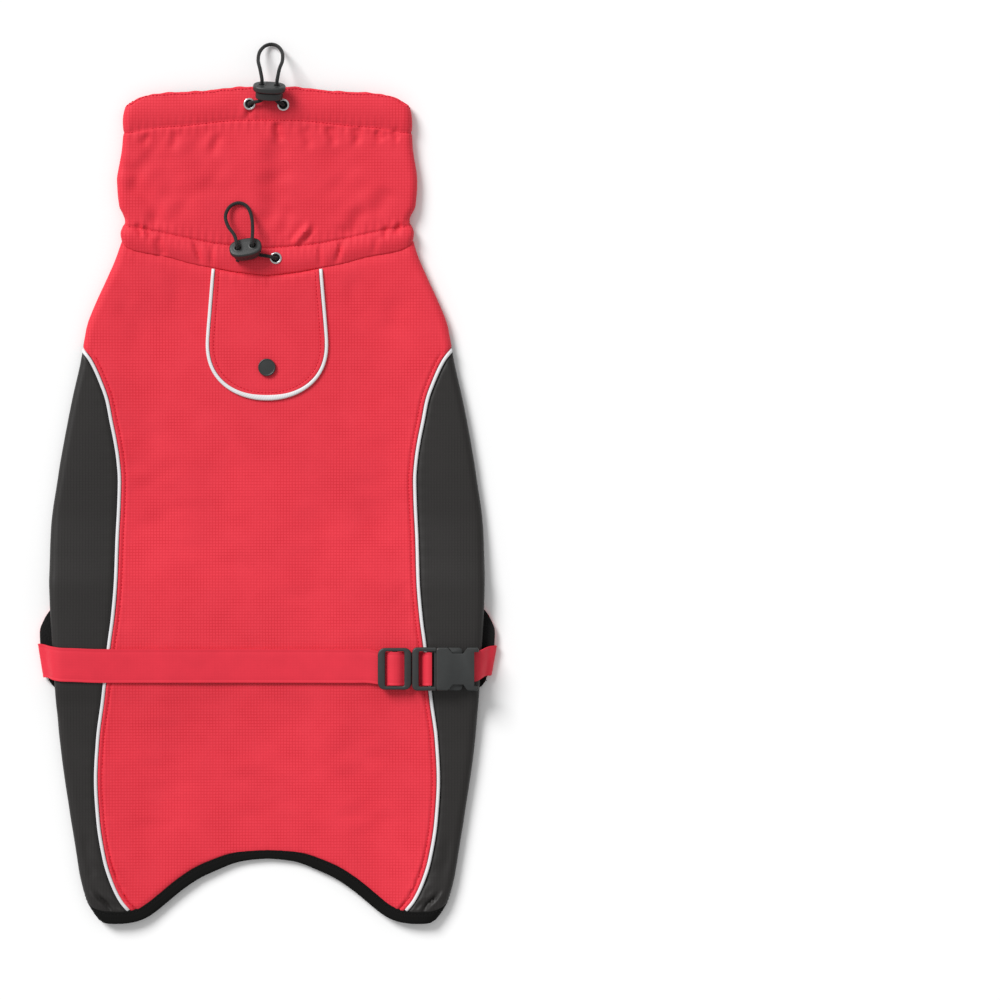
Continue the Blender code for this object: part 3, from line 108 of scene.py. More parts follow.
CORNER_TURN = 35  # along, below which the flank's edge turns round the fold to the hem's corner
CORNER_ROUND = 124.5  # how far round the tube the hem's corner lies

# half width of the garment laid flat: (along, half_width)
SILHOUETTE = (
    (0, 116), (6, 120.4), (14.6, 125.3), (31, 130.1), (56, 134.3), (89.5, 139.5), (123, 144), (156, 146.8),
    (189.5, 148.9), (223, 150.9), (239.5, 151.3), (272.5, 150.3), (314.5, 144.7), (356, 137.4),
    (389.5, 130.1), (406, 127), (414.5, 125.4), (431, 119), (447.5, 111.4), (464.5, 104.2), (473, 101.8),
    (480, 101), (484.5, 99.9), (488, 99), (492, 100.2), (497.5, 102.8), (514.5, 104.1), (539, 101),
    (564, 99.6), (571, 97.8), (600, 97),
)
# height of the outer skin above the surface: (along, centre, middle, side)
TOP_HEIGHT = (
    (0, 4.3, 5.2, 8.2), (45, 4.3, 5.6, 8.8), (120, 5.4, 6.8, 9), (150, 6.6, 8.4, 10.4), (168, 8.4, 10.4, 13),
    (230, 9, 10.6, 13), (257, 8.6, 8.8, 10.8), (285, 8, 7.2, 9), (350, 8, 7, 9), (420, 8.2, 7.4, 9),
    (450, 9, 8.8, 9), (475, 9.6, 9.6, 9.4), (520, 9.9, 9.9, 9.7), (600, 9.7, 9.7, 9.5),
)
# footprint of the belly band under the side panels: (x, lower, upper)
BAND_EDGES = ((95, 160, 258), (117, 156, 248), (136, 152, 240), (152, 149, 233))
# seam between collar and body: (round, along)
NECK_SEAM = (
    (0, 449), (20, 451.5), (35, 454.5), (50, 457.5), (67, 462), (89, 466), (96, 468.5), (104, 475),
    (112.5, 482), (120, 488.5), (133.5, 493.5), (153.5, 495.5), (171.5, 493.5), (208, 492.5),
)
# upper edge of the collar: (round, along)
COLLAR_TOP = (
    (0, 580.8), (20, 580.4), (30, 579.6), (41, 578.2), (61, 577), (76, 576.4), (84, 575.4), (90, 573.6),
    (96, 570.5), (100, 568), (104, 567.4), (108, 568.4), (113, 571), (120, 573.8), (128, 575), (140, 575.8),
    (152, 576.6), (168, 578.2), (185, 579.6), (210, 579.8),
)
# stitch lines of the collar's two cord channels: (round, lower, upper)
CHANNEL_STITCH = (
    (0, 468.5, 557.3), (20, 470, 557), (34, 471.5, 556), (53, 475, 553.8), (79, 480.5, 551.7),
    (98, 484, 548.5), (112, 492, 550), (125, 500, 556), (145, 504, 557), (210, 504, 557),
)
# gathers pressed into the lower cord channel: (x on the seam, x on the stitch line, depth, half width)
GATHERS = (
    (-70, -75.5, 0.96, 1.86), (-45.5, -50.5, 2.33, 1.98), (-38, -38.5, 1.51, 1.61), (37.5, 36.5, 1.65, 1.74),
    (48, 52.5, 2.33, 1.98), (74, 77, 0.96, 1.86),
)
# piping between back and side panels: (along, half distance from the middle of the back)
PIPING = (
    (7, 93), (16, 100.6), (29.8, 107.1), (43.7, 111.4), (71.5, 115.9), (99.2, 117.5), (127, 116.1),
    (154.8, 112.4), (196.4, 107.6), (210.3, 105.7), (238, 103.4), (265.8, 102.6), (293.6, 101.3),
    (307.4, 101), (321.3, 102), (335.2, 104.1), (349, 106.9), (363, 109.6), (376.8, 114.5), (390.7, 121),
    (394.5, 123.7), (398, 127),
)
# cut edge of the cloth at the hem: (round, along)
HEM = (
    (0, 49.9), (14, 49.3), (21, 48.7), (28, 47.2), (35, 44.8), (49, 38.9), (62.5, 30.2), (76, 19.2),
    (83, 13.4), (90, 9.2), (97, 7.6), (104, 7.2), (111, 7.4), (118, 8.8), (124.5, 12),
)
# free edge of the flank binding on the underside, tail to leg hole: (along, round)
FLANK_EDGE = (
    (12, 133), (35, 145), (52, 155), (85, 171.5), (123, 187), (156, 196.5), (200, 191), (252, 178),
    (277, 169.5), (293.6, 163), (318.6, 158), (335, 155), (356, 150), (380, 144.5), (398, 140),
)
# cut edge of the yoke at the leg hole: (share of the way from chest strip to fold, along)
YOKE_EDGE = (
    (0, 447.8), (0.29, 450.4), (0.53, 451), (0.72, 451.2), (0.85, 447.4), (0.93, 440), (1, 428),
)
# cut edge of the shoulder where it meets the side panel, across the fold: (share of the fold, along)
SHOULDER_EDGE = ((0, 394.5), (0.25, 398), (0.5, 400.5), (0.62, 404.5), (0.8, 417), (1, 428))
# chest and belly panel: (along on the middle line, half width, along at the edge)
CHEST_ROWS = (
    (492.2, 34.7, 493.2), (470, 34.5, 470), (447.5, 33.8, 447.5), (427, 32.6, 427), (410, 34.7, 410),
    (385, 36.2, 385), (360, 38.5, 360), (343.5, 42, 343.5), (327, 46.8, 327), (310, 52.4, 310),
    (294, 60.4, 294), (282, 69, 281), (272, 78.5, 268.6), (262, 90, 256), (251, 106, 243.6),
    (240, 121.5, 235.3), (230, 138, 227), (220, 149.8, 218.6), (211, 155.6, 210), (202, 158.2, 201.8),
    (193, 157.6, 190.5), (187, 154.9, 177), (185, 152.2, 169.8),
)
CHEST_TABLE = tuple((index, *row) for index, row in enumerate(CHEST_ROWS))
# leash opening cover
FLAP_HALF = 40
FLAP_TOP_HALF = 35.8
FLAP_SHOULDER = 404  # along where the rounded bottom begins
FLAP_DROP = 38.7
FLAP_ROUNDNESS = 0.8
FLAP_THICK = 1.2
SNAP_ALONG = 385.6
SNAP_RADIUS = 6.1

# belt and its hard pieces
BELT_ALONG = 178.5
SLIDER_X = 88.8
SLIDER_ALONG = 176.7
SLIDER_SIZE = (23.6, 29, 2.8)
SLIDER_CORNER = 5
SLIDER_WINDOW = (6.6, 12)  # half length and half width
SLIDER_BAR = (1.7, 12.6)  # half width and half length of its cross bar
SLIDER_CLEAR = 0.4  # over the strap
BUCKLE_X0 = 100.9  # free end of the frame that takes the long belt
BUCKLE_MEET = 117.5  # where frame and body meet
BUCKLE_X1 = 147.1  # tips of the body's two ears
BUCKLE_ALONG = 176.7
BUCKLE_WIDTH = 30
BUCKLE_THICK = 7.6
BUCKLE_BASE = 13.7
BUCKLE_CORNER = 3.5  # of the frame
FRAME_WINDOW = (4.6, 12.1)  # from the frame's end, and half width
BODY_CORNER = 2
SLIDER_BASE = 12.3
WINDOW_CORNER = 1.2  # of the windows that the long belt passes

# eyelets in the collar's cord channels: (x, along)
EYELETS = {
    "eyelet_upper_left": (-12.1, 568.2), "eyelet_upper_right": (11.4, 567.6), "eyelet_lower": (6.2, 461.4),
}
EYELET_OUTER = 4.3
EYELET_HOLE = 2.5
EYELET_HEIGHT = 1.1
EYELET_LIFT = 0.75  # the channel stands this proud of the collar's skin

# cord locks: oval cap over a narrower button
LOCK_LONG = 22.6
LOCK_SHORT = 14
LOCK_CAP = 4.6
BUTTON_LONG = 19
BUTTON_SHORT = 11.6
BUTTON_HEIGHT = 5.2
LOCK_HOLE = 3.7
LOCK_HOLE_APART = 10.5

# elastic loops for the hind legs, in plan, from over the flank's binding to the hem's
LOOP_TOP = (113.4, 99.7)
LOOP_FOOT = (59.5, 33)
LOOP_WIDTH = 6.2
LOOP_THICK = 0.9
LOOP_RISE = 2.8  # over the binding
LOOP_RISE_START = 103  # distance from the middle where the loop starts to rise
LOOP_RISE_RUN = 6

# a belt's end, side-on, from its tab under the belly band's end, round that end and up onto the side panel:
# (distance from the middle, height of the strap's middle, along, slant of its end line)
TAB = ((146.4, 0.6, 185.6, 3.9), (150.2, 0.6, 184.2, 3.3), (153.4, 0.6, 183.1, 2.6))
TURN_X = 155
TURN_REACH = 2.2
TURN_HEIGHT = 3.25
TURN_ALONG = 182
TURN_SLANT = 1.9
RISE_LEFT = (
    (153.1, 6.9, 181.6, 1.7), (151.6, 8.6, 181.2, 1.4), (150.2, 10.6, 180.8, 1.1), (148, 12.7, 180.3, 0.7),
    (145, 14, 179.8, 0.4),
)
RISE_RIGHT = (
    (153.1, 6.9, 181.7, 1.7), (151.6, 8.6, 181.2, 1.4), (150.1, 10.6, 180.4, 1), (147.8, 12.6, 179.2, 0.6),
    (144.9, 13.8, 178.2, 0.2), (141.6, 14.3, 178, 0),
)
RIGHT_STRAP_WIDTH = 20.8

ORIGIN_ALONG = LENGTH / 2


# ---- tables and small helpers
def between(t, value, slope, next_value, next_slope):
    """Smooth curve from one value to the next, at a share of the way, with the slopes given at both."""
    return ((2 * t ** 3 - 3 * t ** 2 + 1) * value + (t ** 3 - 2 * t ** 2 + t) * slope
            + (3 * t ** 2 - 2 * t ** 3) * next_value + (t ** 3 - t ** 2) * next_slope)


def smooth(rows, at, column=1):
    """Value of a table's column at any place, on a smooth curve through its rows that never overshoots."""
    table = np.asarray(rows, float)
    keys, values = table[:, 0], table[:, column]
    rises = np.diff(values) / np.diff(keys)
    slopes = joined(rises[:1], np.zeros(len(keys) - 2), rises[-1:])
    same_way = rises[:-1] * rises[1:] > 0
    sums = np.where(same_way, rises[:-1] + rises[1:], 1)
    slopes[1:-1] = np.where(same_way, 2 * rises[:-1] * rises[1:] / sums, 0)
    at = np.clip(np.asarray(at, float), keys[0], keys[-1])
    index = np.clip(np.searchsorted(keys, at, side="right") - 1, 0, len(keys) - 2)
    span = keys[index + 1] - keys[index]
    t = (at - keys[index]) / span
    return between(t, values[index], slopes[index] * span, values[index + 1], slopes[index + 1] * span)


def ease(t):
    t = np.clip(t, 0, 1)
    return t * t * (3 - 2 * t)


def together(*values):
    """One array of places from the values of each column."""
    return np.stack(values, -1)


def joined(*parts, axis=0):
    return np.concatenate(parts, axis)


def mix(a, b, t):
    return a + (b - a) * t


def steps(count, first=0, last=1):
    return np.linspace(first, last, count + 1)


def with_edges(shares, inset):
    """Shares from 0 to 1 with one more beside each end, where the cloth's edge is rounded."""
    return joined((shares[0], shares[0] + inset), shares[1:-1], (shares[-1] - inset, shares[-1]))


def shares(length, step, inset):
    """Shares of a length, about a step apart and with one more beside each end."""
    return with_edges(steps(round(length / step)), inset)


def down_to(first, last, step):
    return np.linspace(first, last, round((first - last) / step) + 1)


def hill(offset, width):
    """Smooth hill of height 1 over a line."""
    return np.exp(-(offset / width) ** 2)


def uneven(at, wavelength, phase=0):
    """Uneven wave between about -1 and 1: two waves whose lengths never fall into step."""
    turn = 2 * pi * at / wavelength
    return 0.6 * np.sin(turn + phase) + 0.4 * np.sin(1.618 * turn + 2.3 * phase + 0.7)


def alike(*values):
    """Values as arrays of numbers of one shape."""
    return np.broadcast_arrays(*(np.asarray(value, float) for value in values))


def run_along(spots):
    """Length of a path up to each of its points."""
    return joined((0,), np.cumsum(np.linalg.norm(np.diff(spots, axis=0), axis=1)))


def beside(path):
    """The next point and the last one, for each point of a path."""
    at, last = np.arange(len(path)), len(path) - 1
    return path[np.minimum(at + 1, last)], path[np.maximum(at - 1, 0)]


def unit(vectors):
    return vectors / np.linalg.norm(vectors, axis=-1, keepdims=True)


def crease_strength():
    return bpy.context.scene.coat_sizes.crease_strength


def cloth_step():
    return bpy.context.scene.coat_sizes.cloth_step / MM


# ---- the form of the garment
def fold_start(along):
    """Half width of the flat top, where the side fold begins."""
    return smooth(SILHOUETTE, along) - FOLD_REACH


def top_height(x, along):
    share = np.abs(x) / fold_start(along)
    inner = mix(smooth(TOP_HEIGHT, along, 1), smooth(TOP_HEIGHT, along, 2), ease((share - 0.12) / 0.4))
    return mix(inner, smooth(TOP_HEIGHT, along, 3), ease((share - 0.58) / 0.38))


def tab_lift(x, along):
    """The belt's tabs lie under the ends of the belly band and lift them."""
    across = ease((np.abs(x) - TAB_LIFT_START) / TAB_LIFT_RAMP)
    lengthwise = ease((TAB_LIFT_REACH - np.abs(along - BELT_ALONG)) / TAB_LIFT_FALL)
    return TAB_LIFT * across * lengthwise


def under_height(x, along):
    """Height of the side panels' underside, which rides over the belly band."""
    lower = smooth(BAND_EDGES, np.abs(x), 1)
    upper = smooth(BAND_EDGES, np.abs(x), 2)
    lift = ease((along - lower + LIFT_RAMP) / LIFT_RAMP) * ease((upper + LIFT_RAMP - along) / LIFT_RAMP)
    return BAND_STACK * lift + tab_lift(x, along)


def place(round_, along, depth=0):
    """Points of the flattened tube, in millimetres, at a depth under its outer skin."""
    round_, along, depth = alike(round_, along, depth)
    side = np.where(round_ < 0, -1, 1)
    far = np.abs(round_)
    start = fold_start(along)
    y = along - ORIGIN_ALONG
    top, low = top_height(start, along), under_height(start, along)
    angle = pi * (0.5 - (far - start) / FOLD_ROUND)
    on_top = together(round_, y, top_height(np.minimum(far, start), along) - depth)
    on_fold = together(side * (start + (FOLD_REACH - depth) * np.cos(angle)), y,
                       (top + low) / 2 + ((top - low) / 2 - depth) * np.sin(angle))
    x = 2 * start + FOLD_ROUND - far
    below = together(side * x, y, under_height(x, along) + depth)
    folded = np.where((far < start + FOLD_ROUND)[..., None], on_fold, below)
    return np.where((far <= start)[..., None], on_top, folded)


def under(x, along):
    """The place round the tube of a point of its underside."""
    return np.copysign(2 * fold_start(along) + FOLD_ROUND - np.abs(x), x)


def on_floor(x, along, depth=0):
    """Points of a panel that lies flat on the surface under the garment, at a depth above that surface."""
    x, along, depth = alike(x, along, depth)
    return together(x, along - ORIGIN_ALONG, depth + tab_lift(x, along))


def loop_form(x, along, depth=0):
    """The hind-leg loops rest on the surface and rise over the flank's binding, where they are sewn."""
    x, along, depth = alike(x, along, depth)
    rise = LOOP_RISE * ease((np.abs(x) - LOOP_RISE_START) / LOOP_RISE_RUN)
    return together(x, along - ORIGIN_ALONG, depth + rise)


def across_path(path, distance, form):
    """A path on a form, moved sideways over it by a distance, to the left of its direction."""
    at = np.array(path, float)
    following, last = beside(at)
    tangent = form(*following.T) - form(*last.T)
    parts = max(1, ceil(abs(distance) / 2))
    for _ in range(parts):
        u, v = at.T
        along_u = form(u + 0.5, v) - form(u - 0.5, v)
        along_v = form(u, v + 0.5) - form(u, v - 0.5)
        wanted = np.cross(np.cross(along_u, along_v), tangent)
        wanted *= distance / parts / np.linalg.norm(wanted, axis=1, keepdims=True)
        uu, uv, vv = (np.sum(a * b, 1) for a, b in
                      ((along_u, along_u), (along_u, along_v), (along_v, along_v)))
        wu, wv = np.sum(wanted * along_u, 1), np.sum(wanted * along_v, 1)
        spread = uu * vv - uv * uv
        at[:, 0] += (wu * vv - wv * uv) / spread
        at[:, 1] += (wv * uu - wu * uv) / spread
    return at


def even_path(path, spacing, form=None):
    """A path on the cloth with its places evenly spaced along it."""
    path = np.asarray(path, float)
    run = run_along(path if form is None else form(*path.T))
    wanted = np.linspace(0, run[-1], max(2, round(run[-1] / spacing)) + 1)
    return np.stack([np.interp(wanted, run, column) for column in path.T], 1)


def softened(path, times=3):
    """A path with its corners eased; its ends stay."""
    path = np.array(path, float)
    for _ in range(times):
        path[1:-1] = 0.5 * path[1:-1] + 0.25 * (path[:-2] + path[2:])
    return path


def there_and_back(right):
    """A path on the right that ends in the middle, continued on the left."""
    return joined(right, right[-2::-1] * (-1, 1))


def mirrored(spots):
    """A row of places on the right half, continued to the left half."""
    spots = np.asarray(spots, float)
    return joined(spots[:0:-1] * (-1, 1), spots)


# ---- seams and creases of the cloth
SEAM_TOP = SHOULDER_EDGE[0][1]
SIDE_GAP = PIPING_WIDTH + 2 * GAP
# distance of the mesh's columns from that seam, near which the cloth is pressed and stitched
SEAM_COLUMNS = (0, 0.5, 1, 1.6, 2.2, 2.7, 3.2, 3.9, 4.9, 6.4, 8.3, 10.9, 14)
STITCH_INSET = 2.7  # topstitch beside the piping
# gentle hollows of the back where it lies: (x, along, x, along, depth, half width)
BACK_HOLLOWS = (
    (-88, 352, -70, 268, 1, 13), (86, 340, 74, 262, 0.8, 12), (-30, 330, -44, 222, 0.7, 16),
    (38, 300, 30, 214, 0.6, 15), (-60, 150, -72, 60, 0.8, 14), (58, 146, 76, 52, 0.9, 13),
    (-6, 150, 4, 66, 0.6, 17), (-104, 442, -84, 404, 0.7, 7), (98, 440, 82, 408, 0.7, 7),
    (62, 448, 58, 430, 0.6, 4.5), (-66, 450, -60, 428, 0.6, 5), (-112, 232, -96, 204, 0.5, 6),
    (100, 208, 92, 236, 0.5, 6),
)
# creases of the collar: (x, along, x, along, depth, half width); a depth below zero is a ridge
COLLAR_CREASES = (
    (-12.6, 568.6, -12.6, 558.9, 1.98, 1.8), (6.6, 556, 9.5, 543, 2.31, 3), (10, 549, 3, 480, 1.9, 8),
    (44, 553, 47, 540, 1.65, 3), (61, 552, 64, 541, 1.65, 3), (76, 550, 80, 543, 1.32, 3),
    (86, 549, 92, 544, 1.32, 3), (-99, 530, -70, 482, 2.1, 6), (-84, 544, -52, 492, 1.5, 9),
    (-54, 550, -28, 500, 1.3, 9), (44, 540, 62, 500, 1.1, 11), (29.6, 483.5, 18.7, 469.8, -1.98, 2.5),
    (33.5, 484, 22.5, 470.5, 1.48, 2.2), (69.4, 496, 53, 476.8, 1.32, 5), (87, 508, 73.6, 491.8, 1.16, 6),
    (14.6, 497, 11.8, 478, 0.99, 4), (-77.4, 475, -72, 463, 1.32, 2.4), (-91, 485, -87, 477, 1.48, 2),
    (-84.5, 484, -81, 475.5, 1.32, 2), (83.5, 484, 81, 475, 1.32, 2), (92.5, 486, 89, 478, 1.48, 2),
    (-34, 548, -37, 534, 1.32, 3.2), (-62, 549, -66, 537, 1.16, 3), (-82, 547, -86, 540, 1.16, 2.6),
    (27, 552, 28.5, 538, 1.16, 3.2),
)
# creases of the side panels at the hem's corners: (distance from the middle, along, ..., depth, half width)
CORNER_CREASES = (
    (118.7, 19.5, 107.2, 7.6, 2.02, 1.7), (122.5, 20.5, 112, 10.2, -1.12, 1.4),
    (111, 16.5, 103, 9.6, 1.12, 1.4), (104.5, 24, 99.5, 12, 1.01, 1.6), (116, 40, 107.5, 24, 0.67, 3),
    (127, 60, 121.5, 30, 0.56, 3.5),
)
# creases of the side panels' underside beside the belly band: (distance from the middle, along, ...)
FLANK_CREASES = (
    (108, 272, 121, 262, 1.08, 3.2), (112, 286, 126, 279, 0.81, 3), (118, 140, 127, 118, 0.9, 3.4),
    (127, 131, 131, 108, 0.72, 2.6), (112, 330, 119, 312, 0.72, 3), (124, 300, 128.5, 276, 0.63, 3),
)
# creases of belly band and chest strip, pressed up from below: (x, along, x, along, depth, half width)
BELLY_CREASES = (
    (-62, 244, -34, 214, 0.8, 6), (58, 240, 36, 206, 0.7, 6), (-16, 410, -12, 372, 0.7, 4.5),
    (14, 462, 17, 430, 0.7, 4), (-112, 226, -128, 204, 0.8, 4), (114, 222, 131, 200, 0.8, 4),
    (-8, 334, 6, 300, 0.6, 7),
)


def creases(table, u, v):
    """Depth of the listed creases: soft troughs that fade out at their ends."""
    total = np.zeros(np.broadcast(u, v).shape)
    for u0, v0, u1, v1, depth, width in table:
        length = hypot(u1 - u0, v1 - v0)
        run_u, run_v = (u1 - u0) / length, (v1 - v0) / length
        share = ((u - u0) * run_u + (v - v0) * run_v) / length
        off = (u - u0) * run_v - (v - v0) * run_u
        ends = hill(np.maximum(0, np.abs(share - 0.5) - 0.3), 0.16)
        bend = width * 0.35 * uneven(share * length, 23, u0)
        total += depth * ends * (hill(off - bend, width) - 0.35 * hill(off - bend - 1.7 * width, width))
    return total * crease_strength()


def seam_half(along):
    """Distance from the middle of the back to the seam with the side panel."""
    start = fold_start(along)
    return np.where(np.asarray(along) > SEAM_TOP, start, np.minimum(smooth(PIPING, along), start))


def seam_slant(along):
    """How much longer a step across the seam is when it is measured straight across the garment."""
    slope = seam_half(along + 0.5) - seam_half(along - 0.5)
    return np.sqrt(1 + slope ** 2)


def corner_share(along):
    """Towards the hem's corners the stitched edge is drawn in and gathers."""
    return ease((70 - along) / 50)


def low_waves(u, v):
    """The loose cloth never lies quite flat."""
    return (0.16 * np.sin(u / 21 + v / 47 + 0.6) + 0.13 * np.sin(v / 26 - u / 39 + 2.1)
            + 0.08 * np.sin(u / 9.7 + v / 13 + 4) * np.sin(v / 31 + 1))


def back_relief(u, v):
    """Depth of the back's seams, puckers and hollows under its smooth form."""
    near_fold = 1 - ease((np.abs(u) - fold_start(v) + 2) / 4)
    inside = np.maximum(0, (seam_half(v) - np.abs(u)) / seam_slant(v))
    body = ease((SEAM_TOP + 4 - v) / 8)
    side = np.where(u < 0, 1.9, 0)
    gather = 1 + 1.3 * corner_share(v)
    pucker = uneven(v, 8.3, side) * hill(inside - STITCH_INSET - 1.2, 3.4)
    zigzag = 0.9 * corner_share(v) * uneven(v, 7, side + 1)
    groove = 0.42 * gather * hill(inside - STITCH_INSET - zigzag, 0.75)
    puff = -0.22 * hill(inside - 1.5, 1) * (1 + 0.5 * uneven(v, 11, side))
    ridge = -0.12 * gather * hill(inside - STITCH_INSET - 1.7 - zigzag, 0.9)
    seam = body * (1.3 * groove + puff + 1.5 * ridge + 0.22 * gather * pucker)
    neck = smooth(NECK_SEAM, np.abs(u)) - v
    neck_dip = 1.3 * hill(np.maximum(0, neck), 2.4) + 0.30 * uneven(u, 7.1) * hill(neck - 3.5, 4.5)
    hem = v - smooth(HEM, np.abs(u))
    hem_dip = 0.35 * hill(hem, 1.6) + 0.17 * uneven(u, 7.7, 0.5) * hill(hem - 2.5, 4)
    belt = 0.5 * hill(np.maximum(0, np.abs(v - BELT_ALONG) - 9), 5)
    hollows = creases(BACK_HOLLOWS, u, v)
    on_top = crease_strength() * (seam + neck_dip + hem_dip + 1.7 * low_waves(u, v) + 0.4 * belt) + hollows
    return mix(np.maximum(0, neck_dip), on_top, near_fold)


def side_relief(u, v):
    """Depth of the side panels' relief; on the underside it only presses into the cloth."""
    far = np.abs(u)
    start = fold_start(v)
    outside = np.maximum(0, (far - seam_half(v)) / seam_slant(v) - SIDE_GAP)
    dip = 0.9 * hill(outside, 1.1) + 0.18 * uneven(v, 9.4, 0.4) * hill(outside - 3, 4)
    corner = creases(CORNER_CREASES, far, v)
    hem = v - smooth(HEM, np.minimum(far, CORNER_ROUND))
    tuck = 0.3 * hill(hem, 2) * ease((far - 96) / 4)
    on_top = crease_strength() * (dip + tuck + 1.5 * low_waves(u, v)) + corner
    x = 2 * start + FOLD_ROUND - far
    loose = 0.12 * crease_strength() * (1 + uneven(v + x, 37, 1))
    below = np.maximum(0, creases(FLANK_CREASES, x, v) + loose)
    turned = ease((far - start) / FOLD_ROUND)
    return mix(np.where(far < start + FOLD_ROUND, on_top, 0), below, turned)


def channel_depth(round_, along):
    """Depth of the collar's skin: two cord channels stand proud between stitch lines, and gather."""
    far = np.abs(round_)
    low_seam = smooth(NECK_SEAM, far)
    low = smooth(CHANNEL_STITCH, far, 1)
    high = smooth(CHANNEL_STITCH, far, 2)
    top = smooth(COLLAR_TOP, far)
    share = np.clip((along - low_seam) / (low - low_seam), 0, 1)
    pressed = sum(depth * hill(round_ - mix(foot, head, share), width)
                  for foot, head, depth, width in GATHERS)
    lower = (pressed - LOWER_CHANNEL_RISE) * np.sin(pi * share)
    share = np.clip((along - high) / (top - high), 0, 1)
    upper = -UPPER_CHANNEL_RISE * np.sin(pi * share) + COLLAR_EDGE_FALL * share ** 4
    share = np.clip((along - low) / (high - low), 0, 1)
    middle = -COLLAR_MIDDLE_RISE * np.sqrt(np.sin(pi * share))
    depth = COLLAR_STITCH_DEPTH + np.where(along < low, lower, np.where(along > high, upper, middle))
    stitched = 0.5 * hill(along - low, 0.9) + 0.5 * hill(along - high, 0.9)
    puckers = (0.44 * uneven(round_, 5.3) * hill(along - low - 3, 4.5)
               + 0.34 * uneven(round_, 4.6, 1.7) * hill(along - low + 4, 4.5)
               + 0.42 * uneven(round_, 5.9, 0.9) * hill(along - high + 3, 4)
               + 0.30 * uneven(round_, 5.1, 2.4) * hill(along - high - 3, 3.5)
               + 0.22 * uneven(round_, 6.7, 3.1) * hill(top - along - 1.5, 2))
    loose = crease_strength() * (stitched + puckers + 1.4 * low_waves(round_, along))
    return depth + loose + creases(COLLAR_CREASES, round_, along)


def top_edge(round_):
    """The collar's upper edge runs a little unevenly between its stitches."""
    return smooth(COLLAR_TOP, np.abs(round_)) + 0.35 * uneven(round_, 17, 0.3)


# ---- sizes and colours a user may change
def linear(colour):
    """Linear colour of an sRGB hex value."""
    channels = [int(colour[i:i + 2], 16) / 255 for i in (1, 3, 5)]
    return tuple(c / 12.92 if c <= 0.04045 else ((c + 0.055) / 1.055) ** 2.4 for c in channels)


def length_property(name, description, default):
    return FloatProperty(name=name, description=description, default=default, min=0.0001, max=0.1,
                         precision=5, unit="LENGTH")


def colour_property(name, description, default):
    return FloatVectorProperty(name=name, description=description, default=linear(default), size=3, min=0,
                               max=1, subtype="COLOR")


class CoatSizes(bpy.types.PropertyGroup):
    """Sizes of the coat's cloth, thread and cords."""

    cloth_step: length_property("Cloth step", "Distance between the mesh rows of back and sides", 0.0030)
    collar_step: length_property("Collar step", "Distance between the mesh rows of the collar", 0.0015)
    crease_strength: FloatProperty(
        name="Crease strength", description="Factor on the depth of seams, gathers and creases", default=1,
        min=0, max=1.5, subtype="FACTOR")
    ripstop_pitch: length_property("Ripstop pitch", "Distance between the shell's heavier threads", 0.00205)
    stitch_length: length_property("Stitch length", "Length of one visible stitch", 0.0017)
    stitch_pitch: length_property("Stitch pitch", "Distance between the starts of two stitches", 0.0025)
    thread_thickness: length_property("Thread thickness", "Thickness of the sewing thread", 0.0006)
    cord_diameter: length_property("Cord diameter", "Diameter of the collar's elastic cords", 0.0025)
    strap_width: length_property("Strap width", "Width of the long belt's strap", 0.0234)


class CoatColours(bpy.types.PropertyGroup):
    """Colours of the coat's cloth, trim and hard pieces."""

    shell: colour_property("Shell", "Ripstop cloth of back, collar and belly", "#E13A49")
    side_shell: colour_property("Side shell", "Ripstop cloth of the side panels", "#282625")
    strap: colour_property("Strap", "Strap cloth of the belt", "#DA3142")
    piping: colour_property("Piping", "Reflective tape of the piping", "#DCDCDE")
    binding: colour_property("Binding", "Woven tape of the bindings", "#0E0E0D")
    fleece: colour_property("Fleece", "Stretch fleece of throat and linings", "#101010")
    plastic: colour_property("Plastic", "Moulded buckle, slider, stud and locks", "#2B2D2D")
    metal: colour_property("Metal", "Plated eyelets", "#D2D2D2")
    elastic: colour_property("Elastic", "Elastic cords and loops", "#161717")
    shell_thread: colour_property("Shell thread", "Thread of the seams on the shell", "#CE1A30")
    dark_thread: colour_property("Dark thread", "Thread of the bindings", "#121212")


# ---- materials
def fill(made, inputs):
    """Give a node's inputs their values, or links from a socket or from another node's first output."""
    for name, given in inputs.items():
        given = given.outputs[0] if isinstance(given, bpy.types.Node) else given
        if isinstance(given, bpy.types.NodeSocket):
            made.id_data.links.new(given, made.inputs[name])
        else:
            made.inputs[name].default_value = given


def node(tree, kind, inputs=(), **settings):
    """Add a node with its inputs and settings."""
    made = tree.nodes.new(kind)
    for name, value in settings.items():
        setattr(made, name, value)
    fill(made, dict(inputs))
    return made


def finish_material(name, gloss, colour, height, depth):
    """Material with a Principled shader: gloss values, a colour source and a height source."""
    made = bpy.data.materials.new(name)
    made.use_nodes = True
    tree = made.node_tree
    bump = node(tree, "ShaderNodeBump", {"Strength": 1, "Distance": depth, "Height": height(tree)})
    fill(tree.nodes["Principled BSDF"], {**gloss, "Base Color": colour(tree), "Normal": bump})
    return made


def cloth_map(tree):
    """Place on the cut of the cloth, in metres."""
    return node(tree, "ShaderNodeUVMap", uv_map="cloth")


def on_object(tree):
    return node(tree, "ShaderNodeTexCoord").outputs["Object"]


def maths(tree, operation, *given):
    """Maths node on sockets, nodes and numbers."""
    return node(tree, "ShaderNodeMath", dict(enumerate(given)), operation=operation)


def thread_lines(tree, where, direction, pitch, sharpness=1, waver=0):
    """Fine parallel lines, one a pitch; a higher sharpness makes them narrower."""
    wave = node(tree, "ShaderNodeTexWave",
                {"Scale": 2 * pi / (20 * pitch), "Distortion": waver, "Detail": 1, "Detail Scale": 0.3,
                 "Vector": where}, wave_type="BANDS", bands_direction=direction)
    return maths(tree, "POWER", wave.outputs["Fac"], sharpness)


